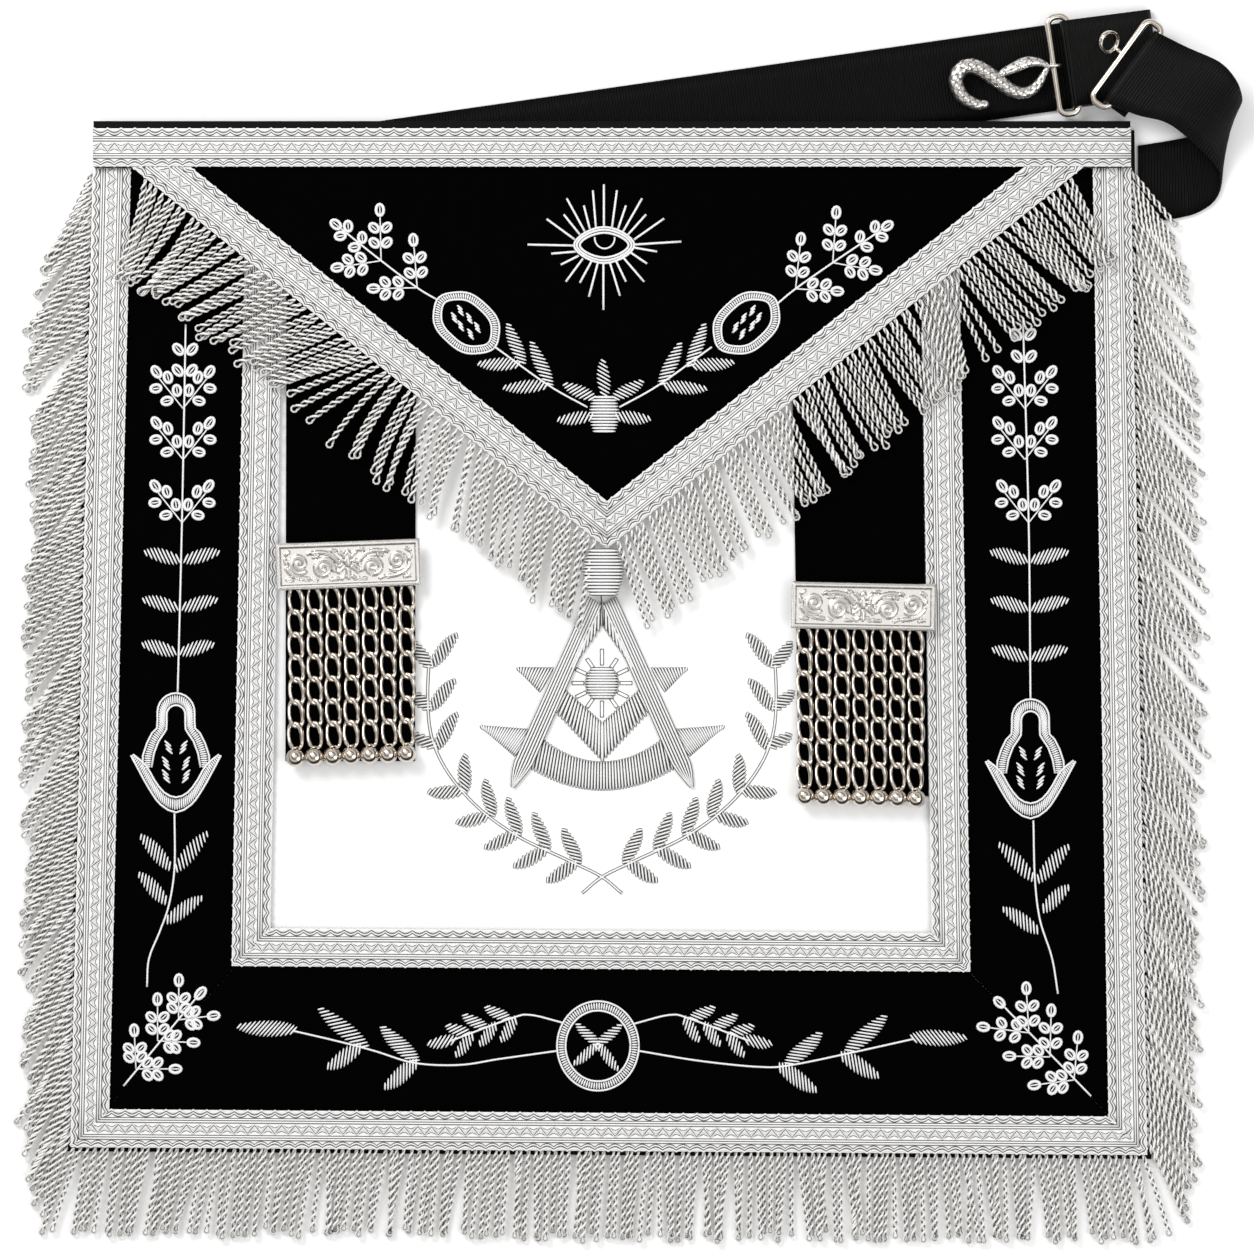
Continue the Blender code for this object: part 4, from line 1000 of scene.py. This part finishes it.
def ornament():
    """The bar's scrolls as polylines in mm over the bar's own centre, each with its half width."""
    lines = []
    for h in (-1, 1):
        def m(pts):
            return np.asarray(pts, float) * (h, 1)
        lines += [
            (m(spiral(9.4, -1.3, 4.1, 0.5, 190, -1.85)), 0.74),
            (m(spiral(18.7, 0.9, 3.9, 0.5, 235, 1.7)), 0.74),
            (m(along_curve([(13.6, 4.7), (10.4, 5.0), (7.2, 4.3), (4.9, 2.7), (3.6, 1.0)], 0.8)), 0.66),
            (m([(13.2, 3.1), (11.4, 3.6)]), 0.42),
            (m(along_curve([(15.0, -5.0), (18.6, -4.5), (21.6, -3.1), (23.6, -0.9)], 0.8)), 0.62),
            (m([(23.4, -4.9), (21.5, -5.3)]), 0.55), (m([(14.0, 5.2), (15.2, 4.6)]), 0.55),
            (m([(23.6, 4.6), (22.4, 5.4)]), 0.55), (m([(23.9, 2.6), (23.7, 1.3)]), 0.5),
            (m([(13.6, -4.9), (12.0, -5.6)]), 0.5), (m([(3.9, -5.3), (6.6, -5.5)]), 0.5),
            (m([(1.3, 3.3), (3.0, 4.7)]), 0.62), (m([(4.6, 5.5), (6.2, 5.6)]), 0.42),
            (m([(1.5, 1.4), (2.6, 1.7)]), 0.55), (m([(1.5, -0.9), (3.7, -2.7)]), 0.62),
            (m([(1.6, -4.4), (2.6, -5.4)]), 0.55), (m([(2.0, 0.2), (3.4, -0.6)]), 0.42),
        ]
    lines += [
        (np.array([(0, 4.5), (0, 5.0)]), 0.82), (np.array([(0, 2.6), (0, 0.4)]), 0.95),
        (np.array([(0, -1.9), (0, -4.9)]), 0.80),
    ]
    return lines


def relief(x, y, lines):
    h = np.zeros_like(x)
    for pts, half in lines:
        for a, b in zip(pts[:-1], pts[1:]):
            d = b - a
            t = np.clip(((x - a[0]) * d[0] + (y - a[1]) * d[1]) / max(d @ d, 1e-9), 0, 1)
            q = np.hypot(x - a[0] - t * d[0], y - a[1] - t * d[1]) / half
            h = np.maximum(h, np.sqrt(np.clip(1 - q * q, 0, 1)))
    return h


def bar(name, node, centre, tilt):
    """A cast plate: a stepped rim round a sunk field with raised scrolls."""
    form = Form()
    w, l = BAR_WIDE / MM, BAR_LONG / MM

    def spaced(side, n):
        """Even places across the plate, with closer ones over the rim at both ends."""
        ends = [np.linspace(-side / 2, -side / 2 + 2.6, 12), np.linspace(side / 2 - 2.6, side / 2, 12)]
        return np.unique(np.round(np.concatenate([np.linspace(-side / 2, side / 2, n), *ends]), 3))

    x, y = np.meshgrid(spaced(l, 224), spaced(w, 72), indexing="ij")
    edge = np.minimum(l / 2 - np.abs(x), w / 2 - np.abs(y))
    rim = np.interp(edge, (0, 0.15, 0.5, 0.62, 0.78, 0.9, 1.55, 1.85, 2.3),
                    (0.45, 0.75, 1.0, 0.74, 0.74, 1.0, 1.0, 0.36, 0.30))
    scrolls = ornament()
    z = rim * BAR_WALL + 0.70 * BAR_WALL * relief(x, y, scrolls) * (edge > 2.2)
    grain = 0.02 * BAR_WALL * np.sin(x * 9.1 + y * 3.3) * np.sin(y * 11.7 - x * 2.1)
    z = BAR_Z + z + grain * (edge > 1.9)
    c, s = math.cos(tilt), math.sin(tilt)

    def place(x, y, z):
        return np.stack([centre[0] + (c * x - s * y) * MM, centre[1] + (s * x + c * y) * MM, z], -1)

    top = place(x, y, z)
    low = place(x, y, np.full_like(x, BAR_Z))
    form.grid(top)
    form.grid(low[::-1, [0, -1]])
    for hi, lo in ((top[:, 0], low[:, 0]), (low[:, -1], top[:, -1]), (low[0], top[0]), (top[-1], low[-1])):
        form.grid(np.stack([lo, hi]))
    foot = PILE_Z + PLY + 0.3 * MM
    corners = [place(np.array(i * l * 0.42), np.array(w * (0.27 + j * 0.18)), np.array(0.0))[:2]
               for i, j in ((-1, -1), (1, -1), (-1, 1), (1, 1))]
    slab(form, corners[:2], corners[2:], foot, BAR_Z - foot, wave=0.0)
    # a dark wash lies in the hollows
    obj = form.build(name, "cast", "dark_cast")
    around = relief(x, y, [(pts, half + 0.42) for pts, half in scrolls]) > 0
    hollow = (edge > 1.7) & (z < BAR_Z + 0.55 * BAR_WALL) & (around | (edge < 2.15))
    i, j = np.meshgrid(np.arange(x.shape[0] - 1), np.arange(x.shape[1] - 1), indexing="ij")
    dark = hollow[i, j] & hollow[i + 1, j + 1] & hollow[i + 1, j] & hollow[i, j + 1]
    marks = np.zeros(len(obj.data.polygons), np.int32)
    marks[:dark.size] = dark.ravel()
    obj.data.polygons.foreach_set("material_index", marks)
    return dress(obj, node)


# columns: side, the bar's place as shares of the apron, its tilt in degrees, how far its chains lie to one side
TASSELS = (("left", (-0.2540, 0.0738), 2.1, 0.065), ("right", (0.2420, 0.0330), -1.2, -0.06))
for side, (bx, by), tilt, lead in TASSELS:
    cx, cy, tilt = bx * WIDTH, by * HEIGHT, math.radians(tilt)
    bar(f"bar_{side}_cast", "bar_" + side, (cx, cy), tilt)
    for k in range(7):
        x = cx + lead * BAR_WIDE + (k - 3) * 7.05 * MM
        chain(f"{side}_chain_{k + 1}", x, cy - BAR_WIDE / 2 + LINK_WIRE + math.tan(tilt) * (x - cx), k % 3 - 1)


# Belt of webbing
def ribbon(form, outer, inner, thick, columns=6):
    """A strap between its two edge lines, closed round its thickness; its UV runs along it in metres."""
    outer, inner = np.asarray(outer, float), np.asarray(inner, float)
    mid = (outer + inner) / 2
    t = unit(np.gradient(mid, axis=0))
    n = unit(np.cross(unit(inner - outer), t))
    s = np.linspace(0, 1, columns + 1)[None, :, None]
    face = outer[:, None] + (inner - outer)[:, None] * s
    up, down = face + n[:, None] * thick / 2, face - n[:, None] * thick / 2
    rows = np.concatenate([up, down[:, ::-1]], 1)
    run = np.concatenate([[0], np.cumsum(np.linalg.norm(np.diff(mid, axis=0), axis=1))])
    i, j = np.meshgrid(np.arange(len(rows) - 1), np.arange(rows.shape[1]), indexing="ij")
    w0, w1 = j / rows.shape[1], (j + 1) / rows.shape[1]
    uv = np.stack([np.stack([run[i], w0], -1), np.stack([run[i], w1], -1), np.stack([run[i + 1], w1], -1),
                   np.stack([run[i + 1], w0], -1)], 2).reshape(-1, 4, 2)
    form.grid(rows, wrap=True, uv=uv)
    m = columns + 1
    for row, flip in ((rows[0], False), (rows[-1], True)):
        cap = np.stack([row[:m], row[m:][::-1]])
        form.grid(cap[::-1] if flip else cap)
    return run[-1]


def arc(cx, cz, r, start, end, steps):
    a = np.radians(np.linspace(start, end, steps + 1))
    return np.column_stack([cx + r * np.cos(a), cz + r * np.sin(a)])


def strap(name, node, outer, inner):
    form = Form()
    long = ribbon(form, outer, inner, SHEET)
    obj = dress(weld(form.build(name, "webbing")), node)
    return obj


SHEET = 1.2 * MM
FRAME_LONG, FRAME_DEEP, FRAME_WIRE, FRAME_Z = 40 * MM, 10 * MM, 2.6 * MM, 4.7 * MM
fold_at, bar_at, strap_start = 0.7407 * WIDTH, 0.6600 * WIDTH, -0.2740 * WIDTH
wrap = FRAME_WIRE / 2 + 0.3 * MM + SHEET / 2
fold_r = SHEET / 2 + 0.75 * MM
flat_run = np.linspace(strap_start, fold_at - fold_r, 60)[:-1]
side_view = np.concatenate([
    np.column_stack([flat_run, np.full(59, SHEET / 2)]),
    arc(fold_at - fold_r, SHEET / 2 + fold_r, fold_r, -90, 90, 12),
    np.column_stack([np.linspace(fold_at - fold_r, bar_at, 8)[1:-1],
                     np.linspace(SHEET / 2 + 2 * fold_r, FRAME_Z + wrap, 8)[1:-1]]),
    arc(bar_at, FRAME_Z, wrap, 85, 270, 16),
    [(bar_at + 0.35 * WEBBING, FRAME_Z - wrap)],
])
lift = np.column_stack([strap_mid + np.outer(side_view[:, 0], slope), side_view[:, 1]])
edge3 = np.append(across, 0) * WEBBING / 2
strap("strap_left_webbing", "strap_left", lift - edge3, lift + edge3)

C1 = np.append(strap_mid + slope * bar_at, FRAME_Z)
C2 = np.array([0.5033 * WIDTH, 0.5564 * HEIGHT, FRAME_Z + 4.2 * MM])
d2, n2 = unit([0.59, 0.807, 0]), unit([0.807, -0.59, 0])
rows = []
for s, z in [(0.23 * WEBBING, -wrap)] + [tuple(p) for p in arc(0, 0, wrap, -90, -270, 10)]:
    mid = C2 + n2 * s + np.array([0, 0, z])
    rows.append((mid + d2 * WEBBING / 2, mid - d2 * WEBBING / 2))
# columns: outer edge x, y, z, then inner edge x, y, z, as shares of the apron's width, height and the webbing's
TURN = (
    (0.5523, 0.5776, 0.38, 0.5058, 0.5120, 0.31),
    (0.5821, 0.5622, 0.50, 0.5359, 0.5038, 0.28),
    (0.5975, 0.5446, 0.54, 0.5644, 0.4816, 0.23),
    (0.6040, 0.5289, 0.485, 0.5846, 0.4611, 0.125),
    (0.6023, 0.5200, 0.365, 0.5884, 0.4457, 0.055),
    (0.5934, 0.5097, 0.24, 0.5833, 0.4316, 0.03),
    (0.5758, 0.5008, 0.085, 0.5707, 0.4214, 0.02),
    (0.5543, 0.4926, 0.0185, 0.5530, 0.4150, 0.0185),
    (0.5085, 0.4846, 0.0185, 0.5085, 0.4078, 0.0185),
)
for row in TURN:
    p = np.array(row) * ((WIDTH, HEIGHT, WEBBING) * 2)
    rows.append((p[:3], p[3:]))
outer, inner = (along_curve([r[k] for r in rows], 1.5 * MM) for k in (0, 1))
n = max(len(outer), len(inner))
outer, inner = (np.column_stack([np.interp(np.linspace(0, 1, n), np.linspace(0, 1, len(e)), e[:, k])
                                 for k in range(3)]) for e in (outer, inner))
strap("strap_right_webbing", "strap_right", outer, inner)


# Metal of the belt
def wire_frame(form, hidden, bar_way, way):
    l, w = (FRAME_LONG - FRAME_WIRE) / 2, FRAME_DEEP - FRAME_WIRE
    r = w * 0.40
    path = []
    for i, j, start in ((1, 0, 0), (-1, 0, 90), (-1, -1, 180), (1, -1, 270)):
        for a in np.radians(start + np.linspace(0, 90, 8)):
            path.append(hidden + bar_way * (i * (l - r) + r * math.cos(a))
                        + way * ((-r if j == 0 else r - w) + r * math.sin(a)))
    form.tube(path, FRAME_WIRE / 2, 14, closed=True)


form = Form()
wire_frame(form, C1, np.append(across, 0), np.append(slope, 0))
dress(form.build("frame_left_wire", "nickel"), "frame_left")

form = Form()
wire_frame(form, C2, d2, n2)
lean = math.radians(38)
eye = np.array([0.4773 * WIDTH, 0.5836 * HEIGHT, C2[2] + 2.2 * MM])
e1, e2 = d2, -n2 * math.cos(lean) + np.array([0, 0, math.sin(lean)])
e3 = np.cross(e1, e2)
a = 2 * np.pi * np.arange(32)[:, None] / 32
circle = e1 * np.cos(a) + e2 * np.sin(a)
band = []
for off, side in ((-0.42, -1.4), (0.42, -1.4), (0.5, 0), (0.42, 1.4), (-0.42, 1.4), (-0.5, 0)):
    band.append(eye + circle * (3.9 + off) * MM + e3 * side * MM)
form.grid(np.concatenate([np.stack(band, 1), np.stack(band, 1)[:1]]), wrap=True)
form.tube([C2 - n2 * (FRAME_DEEP - FRAME_WIRE) + d2 * 2 * MM, eye - e2 * 3.9 * MM], 0.88 * MM, 10)
dress(form.build("frame_right_wire", "nickel"), "frame_right")

# Snake hook: columns are reach left of the hinge and rise above it, as shares of its reach, then half thickness over
# the frame's wire
HOOK = 37.3 * MM
BODY = (
    (0.700, -0.385, 0.62), (0.800, -0.385, 0.86), (0.938, -0.300, 1.00), (1.000, -0.153, 1.08), (0.960, -0.040, 1.10),
    (0.868, 0.005, 1.12), (0.760, -0.020, 1.14), (0.650, -0.090, 1.14), (0.550, -0.163, 1.10), (0.450, -0.235, 1.02),
    (0.340, -0.272, 0.92), (0.240, -0.250, 0.82), (0.160, -0.180, 0.70), (0.100, -0.080, 0.50), (0.060, -0.010, 0.36),
)
HEAD = (
    (0.055, 0.000, 0.34), (0.140, 0.040, 0.60), (0.270, 0.045, 0.86), (0.400, -0.010, 0.84),
    (0.520, -0.065, 0.64),
)
hinge = C1 - np.append(slope, 0) * (FRAME_DEEP - FRAME_WIRE)
hook_z = SHEET + 0.3 * MM + 1.14 * FRAME_WIRE


def creature(form, table, step, sides, scale, flat=1.0):
    t = np.array(table)
    pts = np.column_stack([hinge[0] - t[:, 0] * HOOK, hinge[1] + t[:, 1] * HOOK,
                           np.where(t[:, 0] > 0.1, hook_z, FRAME_Z), t[:, 2] * FRAME_WIRE])
    line = along_curve(pts, step)
    path, r = line[:, :3], line[:, 3]
    run = np.concatenate([[0], np.cumsum(np.linalg.norm(np.diff(path, axis=0), axis=1))])
    t3 = unit(np.gradient(path, axis=0))
    side = unit(np.cross(t3, (0, 0, 1)))
    rise = np.cross(side, t3)
    a = 2 * np.pi * np.arange(sides)[None] / sides
    u = run[:, None] / (3.0 * MM)
    mesh = np.abs(np.sin(np.pi * (u + 2 * a / np.pi))) * np.abs(np.sin(np.pi * (u - 2 * a / np.pi)))
    swell = 1 + scale * (np.sqrt(mesh) - 0.6)
    ring = side[:, None] * (np.cos(a) * swell)[..., None] + rise[:, None] * (flat * np.sin(a) * swell)[..., None]
    form.grid(path[:, None] + ring * r[:, None, None], (mesh[:-1] < 0.15).astype(int).ravel(), wrap=True)
    for k in (0, -1):
        globe(form, path[k], r[k] * 0.98, 8, 12)


form = Form()
creature(form, BODY, 0.28 * MM, 40, 0.10)
creature(form, HEAD, 0.5 * MM, 20, 0.03, flat=0.8)
for reach, rise in ((0.33, 0.052), (0.31, -0.012)):
    globe(form, (hinge[0] - reach * HOOK, hinge[1] + rise * HOOK, hook_z + 1.3 * MM), 0.75 * MM, 8, 12)
ring_wire = 0.704 * MM
ring_r = FRAME_WIRE / 2 + 0.39 * MM + ring_wire
a = 2 * np.pi * np.arange(28)[:, None] / 28
form.tube(hinge + (np.append(slope, 0) * np.cos(a) + np.array([0, 0, 1]) * np.sin(a)) * ring_r, ring_wire, 10,
          up=np.append(across, 0), closed=True)
dress(form.build("snake_hook_cast", "cast", "dark_cast"), "snake_hook", body="hook")


# Camera, floor and light
SHOWS = 480.3 * MM  # side of the square that the photo covers
LENS, SENSOR = 135.0, 36.0
camera = bpy.data.objects.new("camera", bpy.data.cameras.new("camera"))
camera.data.lens, camera.data.sensor_width = LENS, SENSOR
middle = at(PHOTO_SIDE / 2, PHOTO_SIDE / 2)
camera.location = (middle[0], middle[1], SHOWS * LENS / SENSOR)
camera.data.clip_end = 20
bpy.context.scene.collection.objects.link(camera)
bpy.context.scene.camera = camera

floor = Form()
floor.grid(np.array([[(x, y, 0.0) for y in (-3, 3)] for x in (-3, 3)], float))
floor = floor.build("floor")
LOOKS["floor"] = material("pale_floor", (0.93, 0.93, 0.93), (0.95, 0.95, 0.95), 20, 0.8, bump=0.0)
floor.data.materials.append(LOOKS["floor"])
floor.data.flip_normals()


def lamp(name, place, size, power):
    """A soft square lamp that faces the apron's origin."""
    light = bpy.data.lights.new(name, "AREA")
    light.size, light.energy = size, power
    obj = bpy.data.objects.new(name, light)
    obj.location = place
    x, y, z = unit(place)
    obj.rotation_euler = (math.acos(z), 0, math.atan2(y, x) + math.pi / 2)
    bpy.context.scene.collection.objects.link(obj)


lamp("key", (-0.75, 0.9, 1.1), 0.6, 13)
lamp("fill", (0.9, -0.4, 1.2), 1.0, 6)
world = bpy.data.worlds.new("world")
bpy.context.scene.world = world
world.use_nodes = True
tree = world.node_tree
sky = tree.nodes["Background"]
sky.inputs["Color"].default_value = (1, 1, 1, 1)
sky.inputs["Strength"].default_value = 0.75
room = tree.nodes.new("ShaderNodeBackground")
rays, co = tree.nodes.new("ShaderNodeLightPath"), tree.nodes.new("ShaderNodeTexCoord")
height = tree.nodes.new("ShaderNodeVectorMath")
ramp = tree.nodes.new("ShaderNodeValToRGB")
height.operation = "DOT_PRODUCT"
height.inputs[1].default_value = (-0.14, 0.27, 0.95)
tree.links.new(co.outputs["Generated"], height.inputs[0])
tree.links.new(height.outputs["Value"], ramp.inputs["Fac"])
ramp.color_ramp.elements[0].position, ramp.color_ramp.elements[0].color = 0.0, (0.03, 0.027, 0.024, 1)
ramp.color_ramp.elements[1].position, ramp.color_ramp.elements[1].color = 0.97, (1.15, 1.13, 1.10, 1)
for place, shade in ((0.30, 0.10), (0.46, 0.9), (0.62, 0.75), (0.74, 0.22), (0.86, 0.30), (0.92, 1.0)):
    e = ramp.color_ramp.elements.new(place)
    e.color = (shade, shade * 0.97, shade * 0.93, 1)
tree.links.new(ramp.outputs["Color"], room.inputs["Color"])
pick = tree.nodes.new("ShaderNodeMixShader")
tree.links.new(rays.outputs["Is Glossy Ray"], pick.inputs["Fac"])
tree.links.new(sky.outputs[0], pick.inputs[1])
tree.links.new(room.outputs[0], pick.inputs[2])
tree.links.new(pick.outputs[0], tree.nodes["World Output"].inputs["Surface"])
bpy.context.scene.view_settings.view_transform = "Standard"
